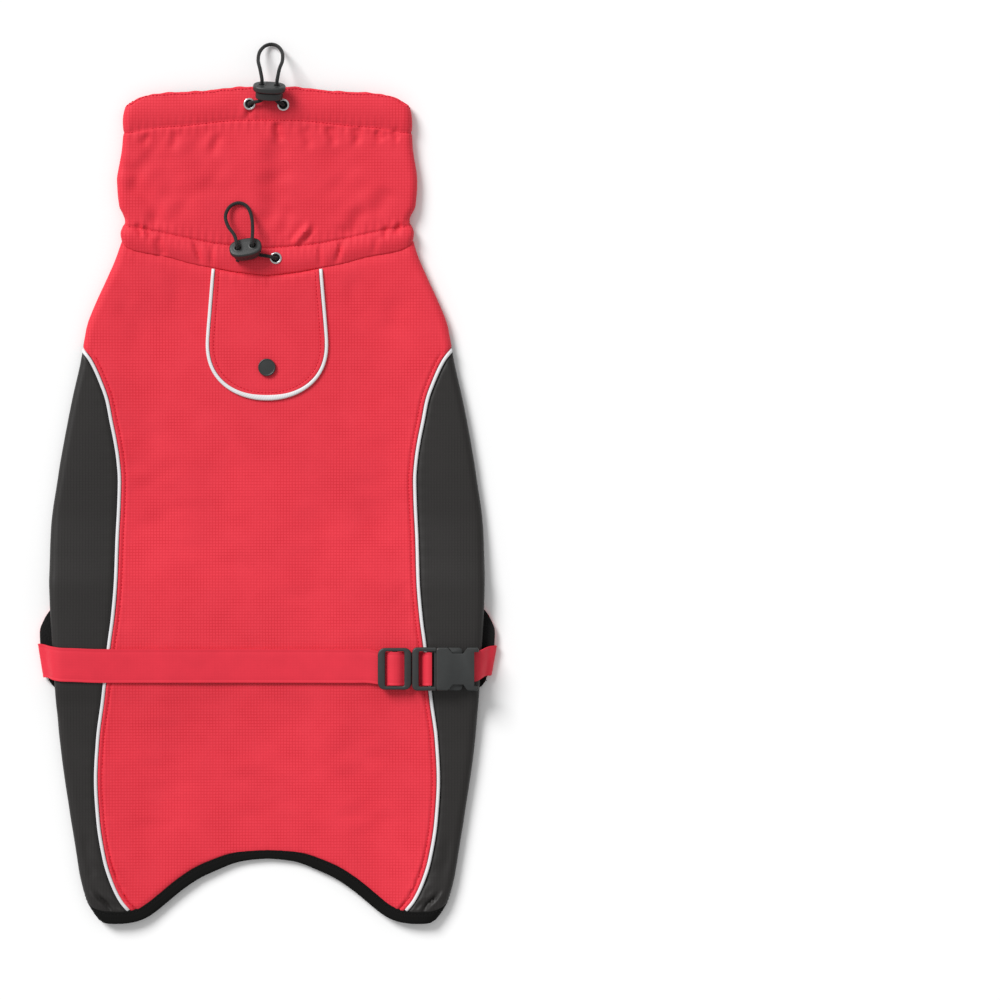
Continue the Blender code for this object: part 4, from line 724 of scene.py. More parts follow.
def slanted(tree, degrees):
    """Place on the cut of the cloth, turned by an angle."""
    return node(tree, "ShaderNodeMapping",
                {"Rotation": (0, 0, radians(degrees)), "Vector": cloth_map(tree)})


def patches(tree, where, size, low, high, detail=2):
    """Soft patches of a size in metres, between a low and a high value."""
    noise = node(tree, "ShaderNodeTexNoise", {"Scale": 1 / size, "Detail": detail, "Vector": where})
    return node(tree, "ShaderNodeMapRange", {
        "From Min": 0.3, "From Max": 0.7, "To Min": low, "To Max": high, "Value": noise.outputs["Fac"]})


def shaded(tree, colour, amount):
    """The colour, darkened or lightened by a factor that varies over the surface."""
    grey = node(tree, "ShaderNodeCombineColor", dict.fromkeys(("Red", "Green", "Blue"), amount))
    tinted = node(tree, "ShaderNodeMix", {0: 1, 6: (*colour, 1), 7: grey}, data_type="RGBA",
                  blend_type="MULTIPLY")
    return tinted.outputs[2]


def worn(tree, colour, lines, strength, base, size):
    """The colour with its threads drawn in by a strength, and slightly worn in patches of a size."""
    threads = maths(tree, "MULTIPLY_ADD", lines, strength, base)
    wear = patches(tree, cloth_map(tree), size, -0.03, 0.03)
    return shaded(tree, colour, maths(tree, "ADD", threads, wear))


def ripstop(name, colour, grid_strength, lengthwise_strength, gloss):
    """Coated polyester ripstop: plain weave with heavier threads both ways, a fine dull grid."""
    pitch = bpy.context.scene.coat_sizes.ripstop_pitch

    def grid(tree):
        across, lengthwise = (
            maths(tree, "MULTIPLY", thread_lines(tree, cloth_map(tree), direction, pitch, 5, 0.6), strength)
            for direction, strength in (("Y", grid_strength), ("X", lengthwise_strength)))
        return maths(tree, "MAXIMUM", across, lengthwise)

    def tint(tree):
        where = cloth_map(tree)
        lines = maths(tree, "MULTIPLY", grid(tree), patches(tree, where, 0.021, 0.55, 1.3))
        broad, fine = patches(tree, where, 0.055, 0, 0.05), patches(tree, where, 0.0012, -0.03, 0.05)
        tone = maths(tree, "ADD", maths(tree, "ADD", lines, broad), fine)
        even = shaded(tree, colour, maths(tree, "MULTIPLY_ADD", tone, -1, 1.045))
        # the heavier threads are darker, and their colour is deepened: the deeper colour is painted, standing
        # in for the sheen that makes the squares between them lighter and paler
        return node(tree, "ShaderNodeGamma",
                    {"Color": even, "Gamma": maths(tree, "MULTIPLY_ADD", lines, 1.1, 1)})

    def weave(tree):
        # the plain weave between the heavier threads is 0.25 mm, drawn at 0.7 mm so that it shows
        plain = maths(tree, "MULTIPLY", *(thread_lines(tree, cloth_map(tree), way, 0.0007) for way in "XY"))
        return maths(tree, "MULTIPLY_ADD", grid(tree), 8, maths(tree, "MULTIPLY", plain, 0.25))

    return finish_material(name, gloss, tint, weave, 0.00005)


def woven_tape(name, colour, rib, contrast, gloss, depth):
    """Woven polyester tape: ribs across its length, a fine thread line along it."""
    def ribs(tree):
        where = cloth_map(tree)
        return maths(tree, "MULTIPLY_ADD", thread_lines(tree, where, "Y", rib * 1.9, 1, 0.5), 0.5,
                     thread_lines(tree, where, "X", rib, 1, 0.3))

    def tint(tree):
        return worn(tree, colour, ribs(tree), contrast, 1 - 0.75 * contrast, 0.012)

    return finish_material(name, gloss, tint, ribs, depth)


def reflective(name, colour):
    """Reflective tape of glass beads on cloth: light grey, satin, with the beads' fine slanting rows."""
    def rows(tree):
        return thread_lines(tree, slanted(tree, 38), "X", 0.0013, 1.5, 0.5)

    def tint(tree):
        return worn(tree, colour, rows(tree), -0.09, 1.04, 0.006)

    return finish_material(name, REFLECTIVE_GLOSS, tint, rows, 0.00003)


def braided(name, colour, pitch):
    """Elastic with a braided polyester cover: slanting strands cross all round it."""
    def strands(tree):
        crossing = (thread_lines(tree, slanted(tree, degrees), "X", pitch) for degrees in (35, -35))
        return maths(tree, "MAXIMUM", *crossing)

    def tint(tree):
        return shaded(tree, colour, maths(tree, "MULTIPLY_ADD", strands(tree), 0.5, 0.7))

    return finish_material(name, ELASTIC_GLOSS, tint, strands, 0.00018)


def grained(name, colour, gloss, tones, grain, depth):
    """A finish without threads of its own: patches of tone, and a fine grain in its surface."""
    def tint(tree):
        amounts = [patches(tree, on_object(tree), *tone) for tone in tones]
        return shaded(tree, colour, maths(tree, "ADD", *amounts) if len(amounts) > 1 else amounts[0])

    def surface(tree):
        return patches(tree, on_object(tree), *grain)

    return finish_material(name, gloss, tint, surface, depth)


SHELL_GLOSS = {"Roughness": 0.6, "Specular IOR Level": 0.15}
SIDE_GLOSS = {"Roughness": 0.5, "Specular IOR Level": 0.3}
TAPE_GLOSS = {"Roughness": 0.8, "Specular IOR Level": 0.12}
STRAP_GLOSS = {"Roughness": 0.5, "Specular IOR Level": 0.2}
REFLECTIVE_GLOSS = {"Roughness": 0.42, "Specular IOR Level": 0.5}
ELASTIC_GLOSS = {"Roughness": 0.7, "Specular IOR Level": 0.35, "Sheen Weight": 0.1}
FLEECE_GLOSS = {"Roughness": 0.95, "Specular IOR Level": 0.15, "Sheen Weight": 0.1, "Sheen Roughness": 0.6}
PLASTIC_GLOSS = {"Roughness": 0.42, "IOR": 1.48}
METAL_GLOSS = {"Roughness": 0.24, "Metallic": 1}
THREAD_GLOSS = {"Roughness": 0.6, "Specular IOR Level": 0.15}


def make_materials():
    """All finishes, by the record's material slots and by the two threads."""
    colours = bpy.context.scene.coat_colours
    # twisted polyester thread: a little lustre, lighter where its strands catch the light
    thread = (THREAD_GLOSS, ((0.0009, 0.8, 1.15),), (0.0005, 0, 1, 1), 0.00006)
    return {
        "red_shell": ripstop("red_polyester_ripstop", colours.shell, 0.11, 0.11, SHELL_GLOSS),
        "charcoal_shell": ripstop("charcoal_polyester_ripstop", colours.side_shell, 0.03, 0.06, SIDE_GLOSS),
        "red_strap": woven_tape("red_polyester_strap", colours.strap, 0.0010, 0.05, STRAP_GLOSS, 0.00002),
        # a short dense pile that scatters light and shows no thread
        "black_fleece": grained("black_stretch_fleece", colours.fleece, FLEECE_GLOSS,
                                ((0.0016, 0.82, 1.12, 4), (0.03, -0.06, 0.06)), (0.0011, 0, 1, 5), 0.0004),
        "black_binding": woven_tape("black_polyester_tape", colours.binding, 0.0011, 0.16, TAPE_GLOSS,
                                    0.00009),
        "reflective_piping": reflective("grey_reflective_tape", colours.piping),
        "black_elastic": braided("black_braided_elastic", colours.elastic, 0.0011),
        # the mould's fine even grain, dull, with a soft highlight on rounded edges
        "black_plastic": grained("black_moulded_acetal", colours.plastic, PLASTIC_GLOSS,
                                 ((0.004, 0.95, 1.05), (0.0006, -0.03, 0.03)), (0.00035, 0, 1, 3), 0.00002),
        # drawn, rolled and plated: bright, with a faint fine grain and wear
        "eyelet_metal": grained("nickel_plated_brass", colours.metal, METAL_GLOSS, ((0.0015, 0.93, 1.03),),
                                (0.0004, 0, 1, 3), 0.000012),
        "shell_thread": grained("red_sewing_thread", colours.shell_thread, *thread),
        "dark_thread": grained("black_sewing_thread", colours.dark_thread, *thread),
    }


FINISHES = {}  # filled by the stage's operator, which comes first


# ---- meshes
EDGE_ROUND = 0.4  # how much the cut edges of cloth are rounded off
SHARP = radians(50)  # edges that turn more than this stay sharp, on cloth and on hard pieces
HARD_SHARP = radians(32)
LEAST_WALL = 0.7  # thickness that cloth keeps under a crease
# what a piece made anew adds to the name of the solid that it stands for, by its material slot
KIND = {
    "red_shell": "_cloth", "charcoal_shell": "_cloth", "red_strap": "_strap", "black_fleece": "_fleece",
    "black_binding": "_tape", "reflective_piping": "_tape", "black_elastic": "_elastic",
    "black_plastic": "_moulded", "eyelet_metal": "_ring",
}


def linked(name, data):
    """Object of some data in the scene."""
    made = bpy.data.objects.new(name, data)
    bpy.context.scene.collection.objects.link(made)
    return made


def add_piece(name, mesh, slot, nodes=(), finish=None):
    """Object of a finished mesh that rides on the coat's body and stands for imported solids."""
    made = linked(name + (KIND[slot] if nodes else ""), mesh)
    if not mesh.materials:
        mesh.materials.append(FINISHES[finish or slot])
    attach(made, "root")
    if nodes:
        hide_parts(*nodes)
    return made


def new_mesh(name, verts, faces, uv=None):
    """Mesh in metres from points in millimetres, its faces pointing out and its cloth map set."""
    mesh = bpy.data.meshes.new(name)
    mesh.from_pydata((np.asarray(verts) * MM).tolist(), [], faces)
    if uv is not None:
        layer = mesh.uv_layers.new(name="cloth")
        corners = np.empty(len(mesh.loops), np.int32)
        mesh.loops.foreach_get("vertex_index", corners)
        layer.data.foreach_set("uv", (np.asarray(uv)[corners] * MM).astype(np.float32).ravel())
    mesh.update()
    if signed_volume(mesh) < 0:
        mesh.flip_normals()
    mesh.shade_smooth()
    mesh.set_sharp_from_angle(angle=SHARP)
    return mesh


def signed_volume(mesh):
    mesh.calc_loop_triangles()
    corners = np.empty(len(mesh.loop_triangles) * 3, np.int32)
    mesh.loop_triangles.foreach_get("vertices", corners)
    points = np.empty(len(mesh.vertices) * 3, np.float32)
    mesh.vertices.foreach_get("co", points)
    a, b, c = points.reshape(-1, 3)[corners.reshape(-1, 3)].astype(float).transpose(1, 0, 2)
    return float(np.sum(a * np.cross(b, c)) / 6)


def wall(name, places, near, far, form, slot, cut_map=None):
    """Closed piece of cloth with a rounded rim over a grid of places, between the depths of its two faces.

    A place is NaN where there is no cloth.  cut_map, where given, is the same grid's place on the cut.
    """
    places = np.asarray(places, float)
    there = ~np.isnan(places[..., 0])
    u, v = np.nan_to_num(places[..., 0]), np.nan_to_num(places[..., 1], nan=300)
    near, far = (np.broadcast_to(d(u, v) if callable(d) else np.asarray(d, float), u.shape).copy()
                 for d in (near, far))
    quads = there[:-1, :-1] & there[1:, :-1] & there[:-1, 1:] & there[1:, 1:]
    rows, columns = u.shape
    index = np.arange(rows * columns).reshape(rows, columns)
    a = index[:-1, :-1][quads]
    corners = together(a, a + 1, a + columns + 1, a + columns)
    edges = dict.fromkeys((quad[k - 1], quad[k]) for quad in corners.tolist() for k in (1, 2, 3, 0))
    rim = [edge for edge in edges if edge[::-1] not in edges]
    on_rim = np.zeros(rows * columns, bool)
    on_rim[[p for edge in rim for p in edge]] = True
    on_rim = on_rim.reshape(rows, columns)
    rounding = np.minimum(EDGE_ROUND, 0.3 * (far - near)) * on_rim
    outer = form(u, v, near + rounding).reshape(-1, 3)
    inner = form(u, v, far - rounding).reshape(-1, 3)
    used = np.zeros(rows * columns, bool)
    used[corners.ravel()] = True
    number = np.cumsum(used) - 1
    count = int(used.sum())
    faces = [tuple(quad) for quad in number[corners].tolist()]
    faces += [tuple(count + p for p in reversed(quad)) for quad in faces]
    rim = number[rim].tolist()
    faces += [(q, p, count + p, count + q) for p, q in rim]
    cut = places if cut_map is None else cut_map
    flat = cut.reshape(-1, 2)
    mesh = new_mesh(name, joined(outer[used], inner[used]), faces, joined(flat[used], flat[used]))
    return add_piece(name, mesh, slot, (name,)), cut_size(flat[corners].transpose(1, 0, 2))


def cut_size(cells):
    """Width, length and area of the cut of a piece, in metres, from the four corners of its cells."""
    p, q, r, s = cells
    one, two = r - p, s - q
    area = 0.5 * np.abs(one[:, 0] * two[:, 1] - one[:, 1] * two[:, 0]).sum()
    width, length = cells.max((0, 1)) - cells.min((0, 1))
    return width * MM, length * MM, min(area * MM * MM, width * length * MM * MM)


def path_strip(name, path, offsets, near, far, form, slot, wider=0, keep=1):
    """Narrow strip along a path; it can be wider on its inner side or keep only a share of its width."""
    rows = np.stack([across_path(path, offset, form) for offset in offsets])
    share = np.linspace(1, 0, len(offsets))[:, None, None]
    rows += share * np.reshape(wider, (1, -1, 1)) * (rows[0] - rows[-1]) / (offsets[-1] - offsets[0])
    rows = rows[:1] + (rows - rows[:1]) * np.reshape(keep, (1, -1, 1))
    return wall(name, rows, near, far, form, slot, strip_cut(path, offsets, form))


def strip_cut(path, across, form):
    """Places on the cut of a strip: along its path and across it."""
    return np.stack(np.meshgrid(run_along(form(*path.T)), across), -1)


# ---- stitches
STITCH_PROUD = 0.14  # of the thread's middle over the line that it presses into the cloth
STITCH_LOW = 0.33  # depth of a stitch on the side that lies on the surface
BINDING_STITCH = 0.22  # share of a binding's width where it is sewn down
STITCH_INPUTS = (("Rows", "Geometry"), ("Pitch", "Float"), ("Length", "Float"), ("Thickness", "Float"),
                 ("Thread", "Material"))


def stitch_tree():
    """Geometry Nodes group that lays one rounded stitch at every pitch along each row of points."""
    tree = bpy.data.node_groups.new("stitches_on_rows", "GeometryNodeTree")
    for name, kind in STITCH_INPUTS:
        tree.interface.new_socket(name=name, in_out="INPUT", socket_type="NodeSocket" + kind)
    tree.interface.new_socket(name="Stitches", in_out="OUTPUT", socket_type="NodeSocketGeometry")
    given = node(tree, "NodeGroupInput").outputs
    curve = node(tree, "GeometryNodeMeshToCurve", {"Mesh": given["Rows"]})
    even = node(tree, "GeometryNodeResampleCurve", {"Curve": curve, "Length": given["Pitch"]},
                mode="LENGTH")
    bead = node(tree, "GeometryNodeMeshUVSphere", {"Segments": 6, "Rings": 5, "Radius": 0.5})
    smooth_bead = node(tree, "GeometryNodeSetShadeSmooth", {"Geometry": bead})
    tangent = node(tree, "GeometryNodeInputTangent")
    turned = node(tree, "FunctionNodeAlignRotationToVector", {"Vector": tangent}, axis="Z")
    size = node(tree, "ShaderNodeCombineXYZ",
                {"X": given["Thickness"], "Y": given["Thickness"], "Z": given["Length"]})
    laid = node(tree, "GeometryNodeInstanceOnPoints",
                {"Points": even, "Instance": smooth_bead, "Rotation": turned, "Scale": size})
    real = node(tree, "GeometryNodeRealizeInstances", {"Geometry": laid})
    dressed = node(tree, "GeometryNodeSetMaterial", {"Geometry": real, "Material": given["Thread"]})
    node(tree, "NodeGroupOutput", {"Stitches": dressed})
    return tree


def stitch_rows(name, rows, finish):
    """Sew rows of stitches, each row given as points in millimetres."""
    sizes = bpy.context.scene.coat_sizes
    verts, edges = [], []
    for row in rows:
        first = len(verts)
        verts += (np.asarray(row) * MM).tolist()
        edges += [(k, k + 1) for k in range(first, len(verts) - 1)]
    guide = linked(name + "_rows", bpy.data.meshes.new(name + "_rows"))
    guide.data.from_pydata(verts, edges, [])
    change = guide.modifiers.new("stitches", "NODES")
    change.node_group = stitch_tree()
    values = {"Pitch": sizes.stitch_pitch, "Length": sizes.stitch_length, "Thickness": sizes.thread_thickness,
              "Thread": FINISHES[finish]}
    for socket in change.node_group.interface.items_tree:
        if socket.in_out == "INPUT" and socket.name in values:
            change[socket.identifier] = values[socket.name]
    sewn = bpy.data.meshes.new_from_object(guide.evaluated_get(bpy.context.evaluated_depsgraph_get()))
    sewn.name = name
    bpy.data.objects.remove(guide, do_unlink=True)
    return add_piece(name, sewn, None, (), finish)


def on_lower_side(u, v, depth):
    """Depth of a row of stitches, kept clear of the surface that the garment lies on."""
    below = np.abs(u) > fold_start(v) + FOLD_ROUND / 2
    return np.where(below, np.maximum(depth, STITCH_LOW), depth)


def shell_stitch_rows():
    """Rows on the red shell: beside the piping, on the collar and on the leash opening's cover."""
    down = np.arange(392, PIPING_LOW, -1)
    beside = seam_half(down) - STITCH_INSET * seam_slant(down)
    rows = [place(u, down, back_relief(u, down) - STITCH_PROUD) for u in (beside, -beside)]
    far = np.arange(-140, 140, 1)
    channels = (smooth(CHANNEL_STITCH, np.abs(far), column) for column in (1, 2))
    for v in (top_edge(far) - 1.8, *channels):
        on_collar = np.abs(far) < under(THROAT_HALF + 2, v)
        u, v = far[on_collar], v[on_collar]
        rows.append(place(u, v, on_lower_side(u, v, channel_depth(u, v) - STITCH_PROUD)))
    u, v = across_path(flap_outline(1.5), -STITCH_INSET, place).T
    rows.append(place(u, v, -GAP - FLAP_THICK + back_relief(u, v) + flap_relief(u, v) - STITCH_PROUD))
    return rows


def binding_stitch_rows():
    """Rows on the black tape: leg holes, tail opening, chest panel's edges and belly's lower edge."""
    depth = float(binding_tuck(BINDING_STITCH)) - STITCH_PROUD
    path = across_path(leg_path(3), BINDING_LAP + BINDING_STITCH * (BINDING_WIDTH - BINDING_LAP), place)
    rows = []
    for u in (path[:, 0], -path[:, 0]):
        rows.append(place(u, path[:, 1], on_lower_side(u, path[:, 1], depth)))
    u, v = hem_rows(hem_path(3), (BINDING_STITCH,))[0].T
    rows.append(place(u, v, on_lower_side(u, v, hem_depth(u, v) + depth)))
    u, v = across_path(chest_edge(), BINDING_LAP + BINDING_STITCH * CHEST_BINDING_WIDTH, on_floor).T
    rows += [on_floor(u, v, STITCH_LOW), on_floor(-u, v, STITCH_LOW)]
    u, v = across_path(belly_edge(), BINDING_LAP + BINDING_STITCH * BELLY_BINDING_WIDTH, on_floor).T
    rows.append(on_floor(u, v, STITCH_LOW))
    return rows


# ---- places of the cloth pieces
YOKE_TOP = 492  # along, nominal neck of the yokes
SHOULDER_NECK = 468  # and of the shoulder on top
FOLD_NECK = 475  # and on the side fold
NECK_TUCK = 1.2  # the back's neck edge reaches this far under the collar
BODY_TOP, BODY_LOW = 386, 74
TAIL_END = 8.6
SIDE_PATCH = 34  # along, below which the side panel turns into the hem's corner
SIDE_TOP_SHARE = 0.2  # share of the fold where the side panel begins
CORNER_ALONG = 12


def mirror_grid(grid):
    """Rows of places on the right half, continued to the left half."""
    return joined(grid[:, :0:-1] * (-1, 1), grid, axis=1)


def seam_columns(count):
    """Columns from the middle to the seam, closer beside it: place = factor * half width + offset."""
    even = steps(count)[:-1]
    fine = np.array(SEAM_COLUMNS[::-1])
    return (joined(even, np.ones(len(fine))), joined(-even * fine[0], -fine))


def back_places(step):
    """Places of the back panel: shoulders with the yokes under the garment, body and tail."""
    factor, offset = seam_columns(round(105 / step))
    neck_spot = factor * fold_start(SHOULDER_NECK) + offset
    top_neck = smooth(NECK_SEAM, neck_spot) + NECK_TUCK
    top_low = mix(400, SEAM_TOP, ease(neck_spot / fold_start(SHOULDER_NECK)))
    fold = steps(10)[1:]
    fold_neck = smooth(NECK_SEAM, fold_start(FOLD_NECK) + fold * FOLD_ROUND) + NECK_TUCK
    yoke = with_edges(steps(22), 0.008)[-2::-1]
    yoke_spot = np.abs(under(mix(YOKE_INNER, fold_start(YOKE_TOP), yoke), YOKE_TOP))
    down = shares(54, step, 0.01)[:, None]
    on_top = mix(top_neck, top_low, down)
    on_fold = mix(fold_neck, smooth(SHOULDER_EDGE, fold), down)
    on_yoke = mix(smooth(NECK_SEAM, yoke_spot) + NECK_TUCK, smooth(YOKE_EDGE, yoke), down)
    shoulder = joined(
        together(factor * fold_start(on_top) + offset, on_top),
        together(fold_start(on_fold) + fold * FOLD_ROUND, on_fold),
        together(under(mix(YOKE_INNER, fold_start(on_yoke), yoke), on_yoke), on_yoke), axis=1)
    bridge = mix(top_low, BODY_TOP, steps(4)[1:, None])
    body = down_to(BODY_TOP, BODY_LOW, step)[1:, None] + 0 * factor
    tail_share = with_edges(steps(round((BODY_LOW - TAIL_END) / step)), 0.008)[1:, None]
    tail_half = smooth(PIPING, mix(BODY_LOW, TAIL_END, tail_share))
    hem = smooth(HEM, factor * smooth(PIPING, TAIL_END) + offset)
    upper = joined(bridge, body)
    upper = together(factor * seam_half(upper) + offset, upper)
    tail = together(factor * tail_half + offset, mix(BODY_LOW, hem, tail_share))
    below = joined(upper, tail)
    missing = np.full((len(below), len(fold) + len(yoke), 2), np.nan)
    return mirror_grid(joined(shoulder, joined(below, missing, axis=1)))


def seam_path(step):
    """Seam between back and side panel on the right, from the shoulder's fold down to the hem."""
    fold = steps(8, 0.4, 0)
    over = smooth(SHOULDER_EDGE, fold)
    down = np.arange(SEAM_TOP - 1, TAIL_END, -1)
    path = joined(together(fold_start(over) + fold * FOLD_ROUND, over),
                  together(seam_half(down), down))
    return even_path(softened(path, 4), step, place)


def flank_cut(along):
    """Place round the tube of the side panel's cut edge on the underside."""
    cut_edge = smooth(FLANK_EDGE, along) - BINDING_WIDTH
    tucked = np.maximum(cut_edge, fold_start(along) + FOLD_ROUND / 2 + FLANK_INSET)
    return np.where(np.asarray(along) < CORNER_TURN, cut_edge, tucked)


def side_places(step):
    """Places of the right side panel: on top, round the fold, on the underside and at the corner."""
    edge = across_path(seam_path(1.5), SIDE_GAP, place)
    start_along = smooth(SHOULDER_EDGE, SIDE_TOP_SHARE)
    order = np.argsort(edge[:, 1])
    rows = down_to(start_along, SIDE_PATCH, step)
    rows = joined(rows[:1], rows[:1] - 0.5, rows[1:])
    seam = np.interp(rows, edge[order, 1], edge[order, 0])
    start, cut_edge = fold_start(rows), flank_cut(rows)
    first_fold = np.maximum(start, seam + 1)
    end_fold = np.minimum(cut_edge - 1, start + FOLD_ROUND)
    top = with_edges(steps(15) ** 1.3, 0.012)[:-2]
    low = with_edges(steps(16), 0.03)[2:]
    marks = joined(mix(seam[:, None], first_fold[:, None], top),
                   mix(first_fold[:, None], end_fold[:, None], steps(12)[:-1]),
                   mix(end_fold[:, None], cut_edge[:, None], joined((0,), low)), axis=1)
    grid = together(marks, rows[:, None] + 0 * marks)
    above = grid[-1]
    share = (above[:, 0] - above[0, 0]) / (above[-1, 0] - above[0, 0])
    gap = edge[:, 1] - smooth(HEM, edge[:, 0])
    hem_start = float(np.interp(0, gap[order], edge[order, 0]))
    hem_low = float(smooth(HEM, hem_start))
    bottom = together(mix(hem_start, CORNER_ROUND, share), smooth(HEM, mix(hem_start, CORNER_ROUND, share)))
    down = with_edges(steps(12), 0.03)[1:, None]
    left_along = mix(SIDE_PATCH, hem_low, down)
    left = np.concatenate((np.interp(left_along, edge[order, 1], edge[order, 0]), left_along), 1)[:, None]
    right_along = mix(SIDE_PATCH, CORNER_ALONG, down)
    right = np.concatenate((flank_cut(right_along), right_along), 1)[:, None]
    t, s = down[:, :, None], share[None, :, None]
    patch = ((1 - t) * above[None] + t * bottom[None] + (1 - s) * left + s * right
             - (1 - s) * (1 - t) * above[0] - s * (1 - t) * above[-1] - (1 - s) * t * bottom[0]
             - s * t * bottom[-1])
    return joined(grid, patch)


LINING_SHORT = 0.2  # the lining ends this much before the shell's lower edge
LINING_HEM = 116  # how far round the lining's lower edge follows the hem
LINING_FOLD = 0.42  # share of the side fold that the lining fills
LINING_SHOULDER = 398


def lining_places(step):
    """The lining lies under the back from fold to fold, and follows neck seam and hem."""
    count = round(120 / step)
    flat = joined(with_edges(steps(count), 0.004)[:-2], np.ones(6))
    fold = joined(np.zeros(len(flat) - 6), with_edges(steps(3), 0.05) * LINING_FOLD)
    neck_spot = flat * fold_start(472) + fold * FOLD_ROUND
    down = shares(60, step, 0.01)[:, None]
    shoulder = mix(smooth(NECK_SEAM, neck_spot) - 2, LINING_SHOULDER, down)
    body = down_to(LINING_SHOULDER, BODY_LOW, step)[1:, None]
    upper = joined(shoulder, body + 0 * flat)
    upper = together(flat * fold_start(upper) + fold * FOLD_ROUND, upper)
    full = flat * fold_start(BODY_LOW) + fold * FOLD_ROUND
    hem = full * LINING_HEM / full[-1]
    down = shares(60, step, 0.01)[1:, None]
    tail = together(mix(full, hem, down), mix(BODY_LOW, smooth(HEM, hem) + LINING_SHORT, down))
    return mirror_grid(joined(upper, tail))


def collar_places(step):
    """Places of the collar from the neck seam to the upper edge, over the top and round to the throat."""
    nominal = fold_start(520)
    top = steps(round(float(nominal) / step))
    fold = steps(12)[1:]
    wing = with_edges(steps(14), 0.02)[1:]

    def spots(half):
        return joined(top * half, half + fold * FOLD_ROUND,
                      half + FOLD_ROUND + wing * (half - THROAT_HALF))

    spot = spots(nominal)
    seam, top_line = smooth(NECK_SEAM, spots(fold_start(FOLD_NECK))) + GAP, top_edge(spot)
    low, high = smooth(CHANNEL_STITCH, spot, 1), smooth(CHANNEL_STITCH, spot, 2)
    middle = 0.5 - 0.5 * np.cos(pi * steps(round(80 / step * 0.8)))
    ends = shares(20, step, 0.025)
    along = joined(mix(seam, low, ends[:-2, None]), mix(low, high, middle[:, None]),
                   mix(high, top_line, ends[2:, None]))
    start = fold_start(along)
    columns = (top * start[:, :len(top)],
               start[:, len(top):len(top) + len(fold)] + fold * FOLD_ROUND,
               under(mix(start[:, -len(wing):], THROAT_HALF + GAP, wing), along[:, -len(wing):]))
    return mirror_grid(together(np.concatenate(columns, axis=1), along))


def throat_places(step):
    down = shares(85, step, 0.008)[:, None]
    across = shares(THROAT_HALF, step, 0.01)
    spot = np.abs(under(across * THROAT_HALF, 500))
    half = THROAT_HALF - THROAT_PINCH * hill(down - THROAT_PINCH_SHARE, THROAT_PINCH_REACH)
    along = mix(smooth(NECK_SEAM, spot) + GAP, smooth(COLLAR_TOP, spot), down)
    return mirror_grid(together(across * (half - GAP), along))


def chest_places(step, first_row=0):
    """Places of the chest and belly panel, or of its lower rows for the lining of the belly band."""
    count = len(CHEST_ROWS) - 1
    rows = np.linspace(first_row, count, (count - first_row) * 4 + 1)
    rows = joined(rows[:1], rows[:1] + 0.03, rows[1:-1], rows[-1:] - 0.04, rows[-1:])[:, None]
    share = with_edges(1 - (1 - steps(round(105 / step))) ** 1.25, 0.004)
    centre, half, edge = (smooth(CHEST_TABLE, rows, column) for column in (1, 2, 3))
    return mirror_grid(together(share * half, mix(centre, edge, share * share)))


def flap_outline(step):
    """Edge of the leash opening's cover, from the neck seam on the right to the one on the left."""
    down = steps(12)
    neck = smooth(NECK_SEAM, FLAP_TOP_HALF) - 0.8
    side = together(mix(FLAP_TOP_HALF, FLAP_HALF, down), mix(neck, FLAP_SHOULDER, down))
    turn = np.radians(np.linspace(90, 0, 60))[1:]
    bottom = together(FLAP_HALF * np.sin(turn), FLAP_SHOULDER - FLAP_DROP * np.cos(turn) ** FLAP_ROUNDNESS)
    right = joined(side, bottom)
    return even_path(softened(there_and_back(right), 6), step)


def flap_places(step):
    share = with_edges(np.sin(steps(round(44 / step)) * pi / 2 * 0.999), 0.008)
    turn = np.arcsin(np.clip(share, 0, 1))
    bottom_x = FLAP_HALF * share
    bottom = FLAP_SHOULDER - FLAP_DROP * np.cos(turn) ** FLAP_ROUNDNESS
    top = smooth(NECK_SEAM, share * FLAP_TOP_HALF) - 0.6
    down = joined(shares(44, step, 0.01)[:-2], (1,))[:, None]
    upper = together(share * mix(FLAP_TOP_HALF, FLAP_HALF, down), mix(top, FLAP_SHOULDER + 2, down))
    down = with_edges(1 - (1 - steps(round(40 / step))) ** 1.3, 0.012)[2:, None]
    lower = together(bottom_x + 0 * down, mix(FLAP_SHOULDER + 2, bottom, down))
    return mirror_grid(joined(upper, lower))


def distance_to(path, u, v):
    """Distance of each place to a path on the cut of the cloth."""
    spots = even_path(path, 1)
    found = np.full(np.shape(u), 1e9)
    for x, y in spots:
        found = np.minimum(found, np.hypot(u - x, v - y))
    return found


def on_back(u, v):
    """Depth of a face that lies on the back's skin."""
    return back_relief(u, v) - GAP


def flap_relief(u, v):
    """Depth of the cover's own seam, and of the dimple round its press stud."""
    inside = distance_to(flap_outline(2), u, v)
    seam = 0.30 * hill(inside - STITCH_INSET, 0.8) - 0.16 * hill(inside - 1.4, 0.9)
    pucker = 0.06 * uneven(u + 0.7 * v, 8.9) * hill(inside - STITCH_INSET - 1, 3)
    stud = 0.35 * hill(np.hypot(u, v - SNAP_ALONG), 10)
    return crease_strength() * (seam + pucker + stud)


def leg_path(step):
    """Cut edge round the right leg hole, from the chest strip round the fold and down the flank."""
    yoke = joined((0.09,), steps(30)[3:])
    along = smooth(YOKE_EDGE, yoke)
    on_yoke = together(under(mix(YOKE_INNER, fold_start(along), yoke), along), along)
    fold = steps(8, 1, 0.6)[1:]
    along = smooth(SHOULDER_EDGE, fold)
    on_fold = together(fold_start(along) + fold * FOLD_ROUND, along)
    down = np.arange(float(smooth(SHOULDER_EDGE, SIDE_TOP_SHARE)), BAND_MIDDLE, -3)
    on_flank = together(flank_cut(down), down)
    return softened(even_path(joined(on_yoke, on_fold, on_flank), step, place), 4)


